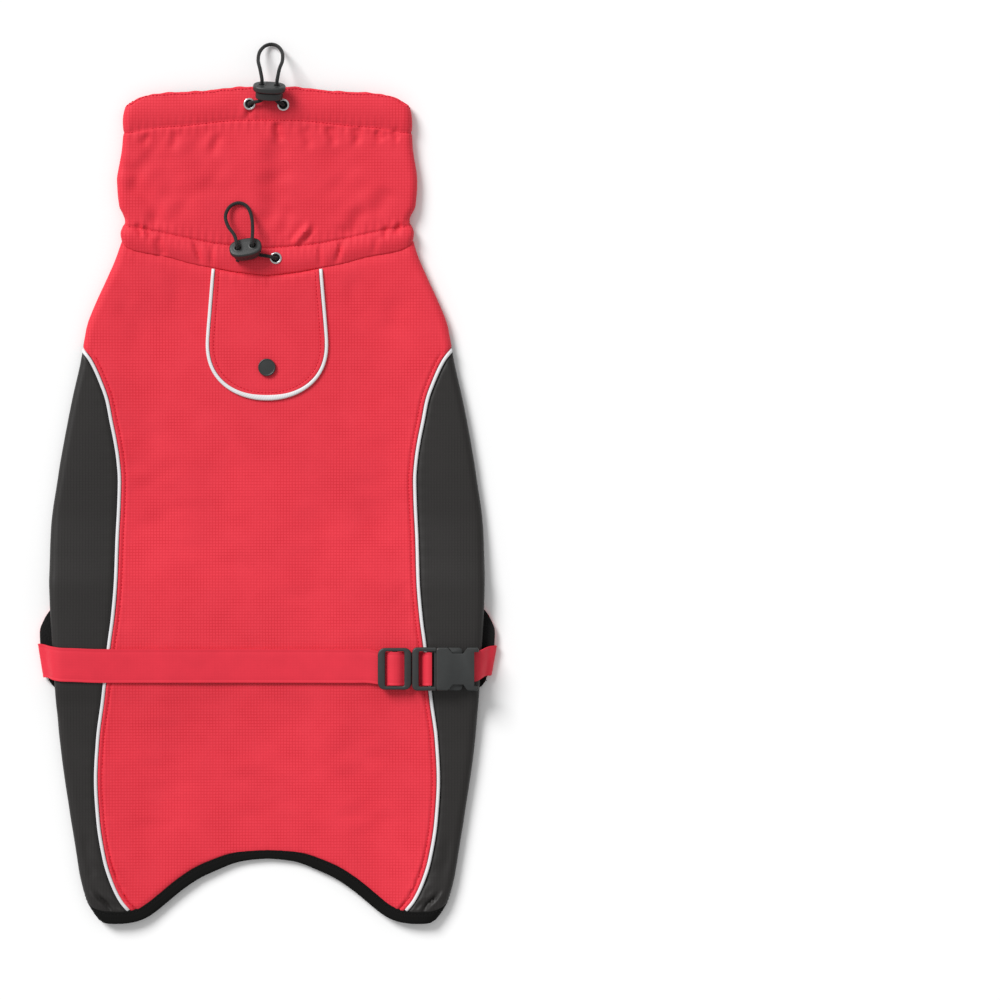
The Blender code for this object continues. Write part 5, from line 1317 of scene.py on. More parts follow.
def hem_path(step):
    """Cut edge round the tail opening, from under the belly band on the right to the one on the left."""
    down = np.arange(BAND_MIDDLE - 4, CORNER_ALONG, -2)
    flank = together(flank_cut(down), down)
    spots = np.arange(CORNER_ROUND, 0, -1.5)
    hem = together(spots, smooth(HEM, spots))
    right = even_path(joined(flank, hem), step, place)
    right = softened(right, 2)
    right[-1, 0] = 0
    return there_and_back(right)


# ---- operators: cloth
DONE = {"FINISHED"}


class CoatOperator:
    """Common to all: one step that can be undone."""

    bl_options = {"REGISTER", "UNDO"}


class CoatStitching(CoatOperator, Operator):
    """Sew the visible rows of stitches"""

    bl_idname = "coat.stitching"
    bl_label = "Stitching"

    def execute(self, context):
        stitch_rows("shell_stitches", shell_stitch_rows(), "shell_thread")
        stitch_rows("binding_stitches", binding_stitch_rows(), "dark_thread")
        return DONE


def both_sides(name, path, offsets, near, far, form, slot):
    """The same strip on the right and, turned over, on the left."""
    path_strip(name + "_right", path, offsets, near, far, form, slot)
    path_strip(name + "_left", path[::-1] * (-1, 1), offsets, near[:, ::-1], far, form, slot)


def following(relief, thickness):
    """Depth of an inner face, which follows the outer one where that is pressed in."""
    return lambda u, v: np.maximum(thickness, relief(u, v) + LEAST_WALL)


FLAP_PIPING_WIDER = 1.7  # of the cover's piping at the bottom, towards the inside
PIPING_LOW = 11.4  # along, where the piping goes under the hem's binding


class CoatPipings(CoatOperator, Operator):
    """Make the reflective piping of both side seams and of the leash opening's cover"""

    bl_idname = "coat.pipings"
    bl_label = "Pipings"

    def execute(self, context):
        across = np.array((0, 0.1, 0.28, 0.5, 0.72, 0.9, 1))
        bead = (1 - np.abs(2 * across - 1) ** 3)[:, None]
        offsets = GAP + across * PIPING_WIDTH
        path = seam_path(2)
        end = 0.8 * ease((PIPING_LOW - path[:, 1]) / (PIPING_LOW - TAIL_END))
        near = -PIPING_RISE * bead - 0.05 + end
        both_sides("piping", path, offsets, near, SHELL, place, "reflective_piping")

        def cover_form(u, v, depth=0):
            return place(u, v, np.asarray(depth) + back_relief(u, v))

        path = flap_outline(2)
        wider = FLAP_PIPING_WIDER * hill(path[:, 0], 20) * (path[:, 1] < FLAP_SHOULDER)
        near = -GAP - FLAP_PIPING_THICK * (0.72 + 0.28 * bead) - 0.15 * hill(path[:, 0], 30)
        path_strip("flap_piping", path, offsets, near, -GAP, cover_form, "reflective_piping", wider)
        return DONE


BINDING_ACROSS = np.array((0, 0.06, 0.13, 0.18, 0.22, 0.27, 0.34, 0.5, 0.7, 0.84, 0.93, 1))
BINDING_LAP = -0.5  # a binding's edge lies this far over the cut edge of the cloth
BINDING_END = 0.03  # least square of the belly binding's share of its width, at its round ends


def binding_tuck(across):
    """A binding's edges lie lower than its middle, and its stitch line is pressed in."""
    return 0.42 * np.abs(2 * across - 1) ** 5 + 0.25 * hill(across - BINDING_STITCH, 0.05)


def chest_edge():
    """Right edge of the chest panel, from the yoke down to the belly band's end."""
    rows = np.linspace(2, 16, 85)
    return np.stack([smooth(CHEST_TABLE, rows, column) for column in (2, 3)], 1)


def belly_edge():
    """Lower edge of the belly band, from right to left."""
    share = 1 - (1 - steps(60)) ** 1.7
    centre, half, side = CHEST_ROWS[-1]
    return mirrored(together(share * half, mix(centre, side, share * share)))[::-1]


def hem_rows(path, across):
    """Places across the hem's binding, which is narrower in the middle of the arch."""
    width = mix(HEM_BINDING_MIDDLE, HEM_BINDING_WIDTH, ease(np.abs(path[:, 0]) / 45))
    most = across_path(path, BINDING_GAP + HEM_BINDING_WIDTH, place)
    least = across_path(path, BINDING_LAP, place)
    share = np.asarray(across)[:, None] * (width / HEM_BINDING_WIDTH)
    return least[None] + share[..., None] * (most - least)[None]


def hem_depth(u, v):
    """The hem's binding stands proud on top, and ripples a little."""
    rise = -HEM_BINDING_RISE * (1 - ease((np.abs(u) - 108) / 12))
    return np.where(rise < 0, rise + 0.05 * uneven(u + v, 6.3), 0)


def hem_under(u, _):
    """Depth of the hem binding's inner face: under shell and lining, or the shell alone at the corners."""
    return mix(SHELL + LINING_GAP + LINING, BINDING_THICK, ease((np.abs(u) - 112) / 12))


class CoatBindings(CoatOperator, Operator):
    """Make the tape bindings of leg holes, tail opening, chest panel and belly edge"""

    bl_idname = "coat.bindings"
    bl_label = "Bindings"

    def execute(self, context):
        slot = "black_binding"
        tuck = binding_tuck(BINDING_ACROSS)[:, None]
        offsets = BINDING_LAP + BINDING_ACROSS * (BINDING_WIDTH - BINDING_LAP)
        both_sides("leg_binding", leg_path(3), offsets, tuck, BINDING_THICK, place, slot)
        path = hem_path(3)
        cut = strip_cut(path, BINDING_ACROSS * HEM_BINDING_WIDTH, place)
        wall("hem_binding", hem_rows(path, BINDING_ACROSS), lambda u, v: hem_depth(u, v) + tuck, hem_under,
             place, slot, cut)
        offsets = BINDING_LAP + BINDING_ACROSS * (GAP + CHEST_BINDING_WIDTH - BINDING_LAP)
        both_sides("chest_binding", chest_edge(), offsets, tuck, BINDING_THICK, on_floor, slot)
        offsets = BINDING_LAP + BINDING_ACROSS * (GAP + BELLY_BINDING_WIDTH - BINDING_LAP)
        edge = belly_edge()
        from_end = np.minimum(1, (CHEST_ROWS[-1][1] - np.abs(edge[:, 0])) / BELLY_BINDING_WIDTH)
        keep = np.sqrt(np.maximum(BINDING_END, 1 - (1 - from_end) ** 2))
        path_strip("belly_binding", edge, offsets, tuck, BINDING_THICK, on_floor, slot, 0, keep)
        return DONE


class CoatLegLoops(CoatOperator, Operator):
    """Make the elastic loops for the hind legs"""

    bl_idname = "coat.leg_loops"
    bl_label = "Leg loops"

    def execute(self, context):
        down = steps(60)
        across = np.array((-0.5, -0.44, -0.3, 0, 0.3, 0.44, 0.5)) * LOOP_WIDTH
        edges = 0.15 * hill(np.abs(across) - LOOP_WIDTH / 2 + 0.9, 0.4)[:, None]
        for name, side in (("leg_loop_left", -1), ("leg_loop_right", 1)):
            top, foot = (np.array(spot) * (side, 1) for spot in (LOOP_TOP, LOOP_FOOT))
            bow = 1.2 * np.sin(pi * down)[:, None] * (side, 0.35)
            path = top + (foot - top) * down[:, None] + bow
            path_strip(name, path, across, edges, LOOP_THICK, loop_form, "black_elastic")
        return DONE


class CoatBackPanel(CoatOperator, Operator):
    """Make the back panel with its shoulders and yokes"""

    bl_idname = "coat.back_panel"
    bl_label = "Back panel"

    def execute(self, context):
        places = back_places(cloth_step())
        made = wall("back_panel", places, back_relief, following(back_relief, SHELL), place, "red_shell")
        return DONE


class CoatSidePanels(CoatOperator, Operator):
    """Make the two side panels"""

    bl_idname = "coat.side_panels"
    bl_label = "Side panels"

    def execute(self, context):
        grid = side_places(cloth_step())
        for side, places in (("right", grid), ("left", grid[:, ::-1] * (-1, 1))):
            made = wall("side_panel_" + side, places, side_relief, following(side_relief, SHELL), place,
                        "charcoal_shell")
        return DONE


class CoatLinings(CoatOperator, Operator):
    """Make the fleece linings of back and belly band"""

    bl_idname = "coat.linings"
    bl_label = "Linings"

    def execute(self, context):
        depth = SHELL + LINING_GAP + 0.1

        def pressed(u, v):
            return depth + 0.15 * uneven(u + 0.4 * v, 31)

        made = wall("back_lining", lining_places(4), pressed, depth + LINING, place, "black_fleece")
        depth = SHELL + BELLY_LINING_GAP
        made = wall("belly_lining", chest_places(4, 14), depth, depth + BELLY_LINING, on_floor,
                    "black_fleece")
        return DONE


def collar_relief(u, v):
    """On top the channels stand proud; on the underside, which lies flat, they only press in."""
    far = np.abs(u)
    stitched = np.minimum(*(np.abs(v - smooth(CHANNEL_STITCH, far, column)) for column in (1, 2)))
    below = 0.4 * hill(stitched, 1.4) + 0.14 * (1 + uneven(u, 6.1)) * hill(stitched - 2.5, 4)
    return mix(channel_depth(u, v), below, ease((far - fold_start(v) - 2) / (FOLD_ROUND - 4)))


class CoatCollar(CoatOperator, Operator):
    """Make the collar with its two gathered cord channels"""

    bl_idname = "coat.collar"
    bl_label = "Collar"

    def execute(self, context):
        places = collar_places(context.scene.coat_sizes.collar_step / MM)
        inside = following(collar_relief, COLLAR_WALL)
        made = wall("collar", places, collar_relief, inside, place, "red_shell")
        return DONE


def throat_relief(u, v):
    """Gathers where the lower cord draws the panel in, and soft hollows above."""
    foot = smooth(NECK_SEAM, np.abs(under(np.clip(u, -THROAT_HALF, THROAT_HALF), 500)))
    line = v - foot - 8
    gathers = 0.22 * (1 + uneven(u, 5.2)) * hill(line, 9) + 0.25 * hill(line, 1.3)
    return gathers + 0.15 * (1 + uneven(u * 0.5 + v, 33)) + 0.15 * hill(v - 574, 1.2)


class CoatThroatPanel(CoatOperator, Operator):
    """Make the stretch panel between the collar's front edges"""

    bl_idname = "coat.throat_panel"
    bl_label = "Throat panel"

    def execute(self, context):
        made = wall("throat_panel", throat_places(3), throat_relief, THROAT_WALL, on_floor, "black_fleece")
        return DONE


def belly_relief(u, v):
    """The chest panel lies on the surface: its creases and hollows press up into it."""
    waves = 0.12 * (1 + uneven(u + 0.6 * v, 41)) + 0.1 * (1 + uneven(v - 0.3 * u, 29, 2))
    return np.maximum(0, creases(BELLY_CREASES, u, v)) + waves


class CoatChestPanel(CoatOperator, Operator):
    """Make the chest and belly panel"""

    bl_idname = "coat.chest_panel"
    bl_label = "Chest and belly panel"

    def execute(self, context):
        places = chest_places(cloth_step())
        inside = following(belly_relief, SHELL)
        made = wall("chest_panel", places, belly_relief, inside, on_floor, "red_shell")
        return DONE


class CoatLeashFlap(CoatOperator, Operator):
    """Make the cover of the leash opening"""

    bl_idname = "coat.leash_flap"
    bl_label = "Leash opening cover"

    def execute(self, context):
        places = flap_places(cloth_step() * 0.6)

        def outside(u, v):
            return flap_relief(u, v) - FLAP_THICK + on_back(u, v)

        made = wall("leash_flap", places, outside, on_back, place, "red_shell")
        return DONE


# ---- routes of cords and straps
LEAST_STRETCH = 1e-6


def smooth_route(points, spacing):
    """Evenly spaced points on a smooth curve through a route's points, each a place and more values."""
    points = np.asarray(points, float)
    last = len(points) - 1
    dense = []
    for index in range(last):
        p1, p2 = points[index], points[index + 1]
        p0, p3 = points[max(index - 1, 0)], points[min(index + 2, last)]
        d1, d2, d3 = (max(np.linalg.norm((b - a)[:3]), LEAST_STRETCH) ** 0.5
                      for a, b in ((p0, p1), (p1, p2), (p2, p3)))
        m1 = (p2 - p0) * (d2 / (d1 + d2)) if index else p2 - p1
        m2 = (p3 - p1) * (d2 / (d2 + d3)) if index < last - 1 else p2 - p1
        t = steps(12)[:-1, None]
        dense.append(between(t, p1, m1, p2, m2))
    dense = joined(*dense, points[-1:])
    run = run_along(dense[:, :3])
    wanted = np.linspace(0, run[-1], round(run[-1] / spacing) + 1)
    return np.stack([np.interp(wanted, run, column) for column in dense.T], 1)


# middle of each lock's upper face (x, along, height), lean towards the neck and turn about the upright
LOCKS = {
    "upper": {"face": (2.3, 580.8, 20.6), "lean": 62, "turn": -3},
    "lower": {"face": (-14.4, 468.9, 21.6), "lean": 27, "turn": 10},
}
# given points of the cords outside their locks: (x, along, height)
LOOPS = {
    "upper": ((-4.2, 591.6, 20.4), (-5.8, 598, 14.6), (-5.2, 604.4, 8.2), (-2, 609, 3.4), (2.6, 610.6, 1.8),
              (7.2, 609, 3.4), (10.4, 604.4, 8.2), (11, 598, 14.6), (9.2, 591.6, 20.4)),
    "lower": ((-21.8, 476.5, 22), (-26.6, 483.4, 18.6), (-28.4, 490.6, 15), (-25.4, 497, 12.6),
              (-19.4, 499.6, 12), (-13.6, 497, 12.8), (-10.4, 490, 15.4), (-9.4, 481, 19.4)),
}
CORD_SIDES = 12
CORD_SPACING = 1


def lock_frame(which):
    """Placement of a lock: its local Z is the way the cord leaves, its local X its long side."""
    spot = LOCKS[which]
    x, along, height = spot["face"]
    turn = Matrix.Rotation(radians(spot["turn"]), 4, "Z")
    lean = Matrix.Rotation(radians(-spot["lean"]), 4, "X")
    return Matrix.Translation((x, along - ORIGIN_ALONG, height)) @ turn @ lean


def eyelet_base(name):
    """Middle of an eyelet's underside, on the channel of the collar."""
    x, along = EYELETS[name]
    return Vector(place(x, along, -EYELET_LIFT - GAP))


def cord_route(which):
    """Route of a drawcord: out of an eyelet, through the lock, round the loop and back."""
    loop = [Vector((x, along - ORIGIN_ALONG, z)) for x, along, z in LOOPS[which]]
    lock = lock_frame(which)
    first, last = ([lock @ Vector((side * LOCK_HOLE_APART / 2, 0, z)) for z in (-12, -8, -3, 1, 3.6)]
                   for side in (-1, 1))
    if which == "upper":
        start, end = eyelet_base("eyelet_upper_left"), eyelet_base("eyelet_upper_right")
        rise = [start + Vector((0, 0, 0.6)), start + Vector((0.9, 0.6, 2.9))]
        fall = [end + Vector((-0.9, 0.6, 2.9)), end + Vector((0, 0, 0.6))]
    else:
        end = eyelet_base("eyelet_lower")
        rise = [Vector(place(-20.4, 459, -2.6)), Vector(place(-19.8, 462, -3.2))]
        fall = [end + Vector((-3.8, 0.8, 3.6)), end + Vector((-0.9, 0.1, 2.7)), end + Vector((0.3, 0, 0.6))]
    return rise + first + loop + last[::-1] + fall


def tube(name, path, radius):
    """Closed tube along a path in millimetres; its cloth map runs along it and round it."""
    tangents = unit(np.subtract(*beside(path)))
    side = np.cross(tangents[0], (0, 0, 1))
    run = run_along(path)
    turn = 2 * pi * np.arange(CORD_SIDES) / CORD_SIDES
    verts = []
    for point, tangent in zip(path, tangents):
        side = unit(side - tangent * side.dot(tangent))
        up = np.cross(tangent, side)
        verts.append(point + radius * (np.cos(turn)[:, None] * side + np.sin(turn)[:, None] * up))
    count = len(path)
    faces = [(j * CORD_SIDES + i, j * CORD_SIDES + (i + 1) % CORD_SIDES,
              (j + 1) * CORD_SIDES + (i + 1) % CORD_SIDES, (j + 1) * CORD_SIDES + i)
             for j in range(count - 1) for i in range(CORD_SIDES)]
    faces += [range(CORD_SIDES)[::-1], range((count - 1) * CORD_SIDES, count * CORD_SIDES)]
    mesh = new_mesh(name, np.concatenate(verts), faces)
    layer = mesh.uv_layers.new(name="cloth")
    for polygon in mesh.polygons:
        sides = [mesh.loops[k].vertex_index % CORD_SIDES for k in polygon.loop_indices]
        wraps = max(sides) - min(sides) > CORD_SIDES // 2
        for k, i in zip(polygon.loop_indices, sides):
            ring = mesh.loops[k].vertex_index // CORD_SIDES
            full = i + CORD_SIDES if wraps and i == 0 else i
            layer.data[k].uv = (run[ring] * MM, full / CORD_SIDES * 2 * pi * radius * MM)
    return mesh


class CoatDrawcords(CoatOperator, Operator):
    """Make the two elastic drawcords of the collar"""

    bl_idname = "coat.drawcords"
    bl_label = "Drawcords"

    def execute(self, context):
        diameter = context.scene.coat_sizes.cord_diameter
        for which in LOCKS:
            path = smooth_route([tuple(p) for p in cord_route(which)], CORD_SPACING)
            length = float(run_along(path)[-1])
            name = which + "_cord"
            made = add_piece(name, tube(name, path, diameter / MM / 2), "black_elastic", (name,))
            print("length of %s_cord: %.0f mm" % (which, length))
        return DONE


# ---- belt
STRAP_ACROSS = np.array((-1, -0.985, -0.94, -0.88, -0.84, -0.80, -0.6, -0.3, 0, 0.3, 0.6, 0.80, 0.84, 0.88,
                         0.94, 0.985, 1))
STRAP_SPACING = 1.5


def belt_end(side, rise):
    """Path of a belt's end on one side, from the tab to where it lies on the back."""
    spots = list(TAB)
    reach = TURN_HEIGHT - STRAP_THICK / 2
    for degrees in (-60, -25, 15, 55, 90):
        turn = radians(degrees)
        spots.append((TURN_X + TURN_REACH * cos(turn), TURN_HEIGHT + reach * sin(turn),
                      TURN_ALONG, TURN_SLANT))
    return [(side * x, z, along, side * slant) for x, z, along, slant in spots + list(rise)]


def over_back(x):
    """Place of the long belt where it lies over the back: it falls a little towards the slider."""
    height = float(top_height(x, BELT_ALONG)) + BELT_CLEAR + STRAP_THICK / 2
    along = BELT_ALONG + 1 * float(ease((-x - 112) / 32)) - 0.1 * float(ease((x + 60) / 120))
    return (x, height, along, 0)


def belt_route():
    """Side-on path of the long belt, over the back and woven through slider and buckle."""
    left = belt_end(-1, RISE_LEFT)
    left += [over_back(x) for x in (-142, -132, -120, -105, -88, -70, -50, -25, 0, 25, 45,
                                    60, 70)]
    low = SLIDER_BASE + STRAP_THICK / 2
    high = low + 2.6
    base = BUCKLE_BASE + STRAP_THICK / 2
    weave = ((82, low), (84.6, low + 1.5), (86.8, high), (90.8, high), (93, low + 1.5),
             (95.6, low), (100, low + 0.3), (103.4, base), (106.6, base + 0.4), (109, base + 2.6),
             (111.6, base + 4.4), (114.6, base + 4.4))
    return left + [(x, z, SLIDER_ALONG, 0) for x, z in weave]


def strap(name, route, width):
    """Folded strap of constant thickness along a side-on path, its two edges pressed, with a groove along
    each.
    """
    path = smooth_route([(x, along, z, slant) for x, z, along, slant in route], STRAP_SPACING)
    count = np.arange(len(path))
    way = np.subtract(*beside(path))
    up = unit(together(-way[:, 2], np.zeros(len(path)), way[:, 0]))

    def form(u, v, depth=0):
        """u is the number of the path's point, v the place across from -1 to 1."""
        k = np.asarray(u).astype(int)
        spot = together(path[k, 0] + path[k, 3] * v, path[k, 1] - ORIGIN_ALONG + v * width / 2, path[k, 2])
        return spot + up[k] * (STRAP_THICK / 2 - depth)[..., None]

    grid = np.stack(np.meshgrid(count.astype(float), STRAP_ACROSS), -1)
    along_run = run_along(path[:, :3]) + 0 * grid[..., 1]
    from_edge = (1 - np.abs(grid[..., 1])) * width / 2
    pressed = 0.14 * hill(from_edge - 1.9, 0.5) - 0.06 * hill(from_edge - 0.9, 0.6) + 0.07 * uneven(
        along_run, 46, 1) * hill(grid[..., 1] * width / 2 - 3, 8)
    cut = together(along_run, grid[..., 1] * width / 2)
    return wall(name, grid, pressed, STRAP_THICK - 0.4 * np.maximum(pressed, 0), form, "red_strap", cut)


class CoatBelt(CoatOperator, Operator):
    """Make the long and the short belt"""

    bl_idname = "coat.belt"
    bl_label = "Belt"

    def execute(self, context):
        made = strap("belt_left", belt_route(), context.scene.coat_sizes.strap_width / MM)
        made = strap("belt_right", belt_end(1, RISE_RIGHT), RIGHT_STRAP_WIDTH)
        return DONE


# ---- hard pieces
def soft_levels(low, high, radius, count=4):
    """Levels (height, inset) of a prism whose two rims are rounded."""
    turns = [radians(90 * k / count) for k in range(count + 1)]
    rim = [(radius * (1 - cos(a)), radius * (1 - sin(a))) for a in turns]
    return [(low + z, inset) for z, inset in rim] + [(high - z, inset) for z, inset in rim[::-1]]


def flared_levels(low, high, radius, reach=3, count=3):
    """Levels of a cutter that leaves rounded rims where it passes a solid's two faces."""
    levels = [(z, -inset - 0.02) for z, inset in soft_levels(low, high, radius, count)]
    return [(low - reach, levels[0][1])] + levels + [(high + reach, levels[-1][1])]


def prism_mesh(outline, levels):
    """Closed solid over a plan outline, through levels of (height, inset towards the middle)."""
    outline = np.asarray(outline, float)
    way = np.roll(outline, -1, 0) - np.roll(outline, 1, 0)
    inward = unit(together(-way[:, 1], way[:, 0]))
    bm = bmesh.new()
    rings = [[bm.verts.new((*(spot + side * inset), z)) for spot, side in zip(outline, inward)]
             for z, inset in levels]
    count = len(outline)
    for a, b in zip(rings, rings[1:]):
        for i in range(count):
            j = (i + 1) % count
            bm.faces.new((a[i], a[j], b[j], b[i]))
    bm.faces.new(rings[0][::-1])
    bm.faces.new(rings[-1])
    return bm


def rounded_plan(x0, x1, y, half, radius, per_corner=8):
    """Plan outline of a rectangle with round corners, of a half width about y, counter-clockwise."""
    corners = ((x1 - radius, y + half - radius, 0), (x0 + radius, y + half - radius, 90),
               (x0 + radius, y - half + radius, 180), (x1 - radius, y - half + radius, 270))
    turned = [(cx, cy, radians(start + 90 * t)) for cx, cy, start in corners for t in steps(per_corner)]
    return [(cx + radius * cos(turn), cy + radius * sin(turn)) for cx, cy, turn in turned]


def oval_plan(long_, short, count=56, power=2.5):
    """Plan outline of a full oval."""
    turn = 2 * pi * np.arange(count) / count
    c, s = np.cos(turn), np.sin(turn)
    return together(np.copysign(np.abs(c) ** (2 / power), c) * long_ / 2,
                    np.copysign(np.abs(s) ** (2 / power), s) * short / 2)


def disc_plan(x, y, radius, count=28):
    turn = 2 * pi * np.arange(count) / count
    return together(x + radius * np.cos(turn), y + radius * np.sin(turn))


def block_mesh(low, high, rounding=0):
    """Box between two corners, with its edges rounded."""
    bm = bmesh.new()
    bmesh.ops.create_cube(bm, size=1)
    bmesh.ops.scale(bm, vec=Vector(high) - Vector(low), verts=bm.verts)
    bmesh.ops.translate(bm, vec=(Vector(high) + Vector(low)) / 2, verts=bm.verts)
    if rounding:
        bmesh.ops.bevel(bm, geom=list(bm.edges), offset=rounding, segments=3, affect="EDGES", profile=0.5)
    return bm


def temporary(name, bm, placed):
    """Object of a bmesh in millimetres, for a Boolean."""
    if placed is not None:
        bmesh.ops.transform(bm, matrix=placed, verts=bm.verts)
    bmesh.ops.recalc_face_normals(bm, faces=bm.faces)
    if bm.calc_volume(signed=True) < 0:
        bmesh.ops.reverse_faces(bm, faces=bm.faces)
    bmesh.ops.scale(bm, vec=(MM, MM, MM), verts=bm.verts)
    mesh = bpy.data.meshes.new(name)
    bm.to_mesh(mesh)
    bm.free()
    return linked(name, mesh)


def solid(name, base, changes=(), placed=None, slot="black_plastic", nodes=None):
    """Piece from a base solid, with others joined on ("UNION") or cut away ("DIFFERENCE") in turn."""
    body = temporary(name + "_base", base, placed)
    helpers = []
    for operation, bm in changes:
        helper = temporary(name + "_helper", bm, placed)
        change = body.modifiers.new(helper.name, "BOOLEAN")
        change.operation, change.solver, change.object = operation, "EXACT", helper
        helpers.append(helper)
    evaluated = body.evaluated_get(bpy.context.evaluated_depsgraph_get())
    mesh = bpy.data.meshes.new_from_object(evaluated)
    mesh.name = name
    for helper in helpers + [body]:
        bpy.data.objects.remove(helper, do_unlink=True)
    mesh.shade_smooth()
    mesh.set_sharp_from_angle(angle=HARD_SHARP)
    return add_piece(name, mesh, slot, (name,) if nodes is None else nodes)


class CoatSlider(CoatOperator, Operator):
    """Make the belt's slider"""

    bl_idname = "coat.slider"
    bl_label = "Slider"

    def execute(self, context):
        length, width, thick = SLIDER_SIZE
        y = SLIDER_ALONG - ORIGIN_ALONG
        low = SLIDER_BASE + STRAP_THICK + SLIDER_CLEAR
        outer = rounded_plan(SLIDER_X - length / 2, SLIDER_X + length / 2, y, width / 2, SLIDER_CORNER, 12)
        half_x, half_y = SLIDER_WINDOW
        window = rounded_plan(SLIDER_X - half_x, SLIDER_X + half_x, y, half_y, WINDOW_CORNER, 6)
        bar_x, bar_y = SLIDER_BAR
        bar = block_mesh((SLIDER_X - bar_x, y - bar_y, SLIDER_BASE + 0.5),
                         (SLIDER_X + bar_x, y + bar_y, low + 0.35), 0.6)
        changes = [("DIFFERENCE", prism_mesh(window, flared_levels(low, low + thick, 0.8))), ("UNION", bar)]
        solid("slider", prism_mesh(outer, soft_levels(low, low + thick, 1)), changes)
        return DONE


# plan of one sprung arm with the pad that shows in the body's notch, and of that notch
ARM = (
    (121.5, 8.6), (133, 9.2), (135.2, 10.4), (135.8, 12.2), (135, 14), (133.4, 14.8), (126.1, 14.8),
    (128.2, 12.3), (121.5, 11.9),
)
NOTCH = ((129.1, 10.8), (136.2, 10.8), (141, 17), (123.5, 17))
ARM_LOW = 2.4
ARM_HIGH = 5.2
EAR_INNER = 11.8  # the short belt enters between the body's ears
EAR_START = 143.9
BUCKLE_Y = BUCKLE_ALONG - ORIGIN_ALONG


def buckle_plan(outline, side):
    """Plan outline of (x, distance from the buckle's middle) on one side, counter-clockwise."""
    placed = [(x, BUCKLE_Y + side * off) for x, off in outline]
    return placed if side > 0 else placed[::-1]


def buckle_box(x0, x1, half, low, high, rounding=0):
    """Box across the buckle's middle line, its heights above the buckle's underside."""
    return block_mesh((x0, BUCKLE_Y - half, BUCKLE_BASE + low),
                      (x1, BUCKLE_Y + half, BUCKLE_BASE + high), rounding)


class CoatBuckle(CoatOperator, Operator):
    """Make the two halves of the belt's side-release buckle"""

    bl_idname = "coat.buckle"
    bl_label = "Buckle"

    def execute(self, context):
        self.frame_half()
        self.body_half()
        return DONE

    @staticmethod
    def frame_half():
        """Frame with the belt's window, a foot inside the body, and two sprung arms with pads."""
        half = BUCKLE_WIDTH / 2
        low, high = BUCKLE_BASE + STRAP_THICK + 0.4, BUCKLE_BASE + BUCKLE_THICK - 0.8
        frame_plan = rounded_plan(BUCKLE_X0, BUCKLE_MEET + 6, BUCKLE_Y, half, BUCKLE_CORNER, 10)
        start, reach = FRAME_WINDOW
        window = rounded_plan(BUCKLE_X0 + start, BUCKLE_MEET + 3, BUCKLE_Y, reach, WINDOW_CORNER, 5)
        changes = [("DIFFERENCE", prism_mesh(window, flared_levels(low, high, 0.6))),
                   ("DIFFERENCE", buckle_box(BUCKLE_MEET - GAP, BUCKLE_MEET + 9, half + 2, -3, 12)),
                   ("UNION", buckle_box(BUCKLE_MEET - 1.4, BUCKLE_MEET - GAP, 13.6, ARM_LOW, ARM_HIGH)),
                   ("UNION", buckle_box(BUCKLE_MEET - 1, 122.4, 12.2, ARM_LOW, ARM_HIGH)),
                   ("UNION", buckle_box(121, 134, 3.6, ARM_LOW, ARM_HIGH, 0.3))]
        changes += [("UNION", prism_mesh(buckle_plan(ARM, side),
                                         soft_levels(BUCKLE_BASE + ARM_LOW, BUCKLE_BASE + ARM_HIGH, 0.35, 2)))
                    for side in (-1, 1)]
        solid("buckle_male", prism_mesh(frame_plan, soft_levels(low, high, 1)), changes)

    @staticmethod
    def body_half():
        """Hollow body with notches for the arms' pads, and two ears at the short belt's end."""
        half = BUCKLE_WIDTH / 2
        top = BUCKLE_BASE + BUCKLE_THICK
        plan = rounded_plan(BUCKLE_MEET, BUCKLE_X1, BUCKLE_Y, half, BODY_CORNER)
        changes = [("DIFFERENCE", buckle_box(BUCKLE_MEET - 2, 136.5, 12.6, 2, 5.6))]
        changes += [("DIFFERENCE", prism_mesh(buckle_plan(NOTCH, side), flared_levels(BUCKLE_BASE, top, 0.5)))
                    for side in (-1, 1)]
        changes += [("DIFFERENCE", buckle_box(EAR_START, BUCKLE_X1 + 3, EAR_INNER, -2, 12)),
                    ("DIFFERENCE", buckle_box(138, BUCKLE_X1 + 3, 12.6, -2, 1.9))]
        solid("buckle_female", prism_mesh(plan, soft_levels(BUCKLE_BASE, top, 1.3)), changes)


def turned_mesh(profile, count, base):
    """Solid turned about an upright axis from a closed or axis-to-axis profile of (radius, height)."""
    bm = bmesh.new()
    closed_ring = profile[0][0] > 0
    rings = []
    for radius, z in profile:
        if radius == 0:
            rings.append([bm.verts.new(base + Vector((0, 0, z)))])
            continue
        rings.append([bm.verts.new(base + Vector((radius * cos(turn), radius * sin(turn), z)))
                      for turn in (2 * pi * i / count for i in range(count))])
    following = rings[1:] + rings[:1] if closed_ring else rings[1:]
    for a, b in zip(rings, following):
        for i in range(count):
            j = (i + 1) % count
            quad = [a[i % len(a)], a[j % len(a)], b[j % len(b)], b[i % len(b)]]
            bm.faces.new(list(dict.fromkeys(quad)))
    return bm


# round rim of the press stud's cap: (distance from its edge, height)
SNAP_RIM = ((0.5, 0), (0.1, 0.2), (0, 0.6), (0.02, 1.35), (0.2, 1.7), (0.55, 1.86), (0.9, 1.8), (1.15, 1.62))


class CoatPressStud(CoatOperator, Operator):
    """Make the press stud's cap on the leash opening's cover"""

    bl_idname = "coat.press_stud"
    bl_label = "Press stud"

    def execute(self, context):
        height = float(top_height(0, SNAP_ALONG)) + GAP + FLAP_THICK + GAP
        radius = SNAP_RADIUS
        profile = ((0, 0), *((radius - inset, z) for inset, z in SNAP_RIM), (3.2, 1.7), (0, 1.74))
        solid("snap_cap", turned_mesh(profile, 48, Vector((0, SNAP_ALONG - ORIGIN_ALONG, height))))
        return DONE


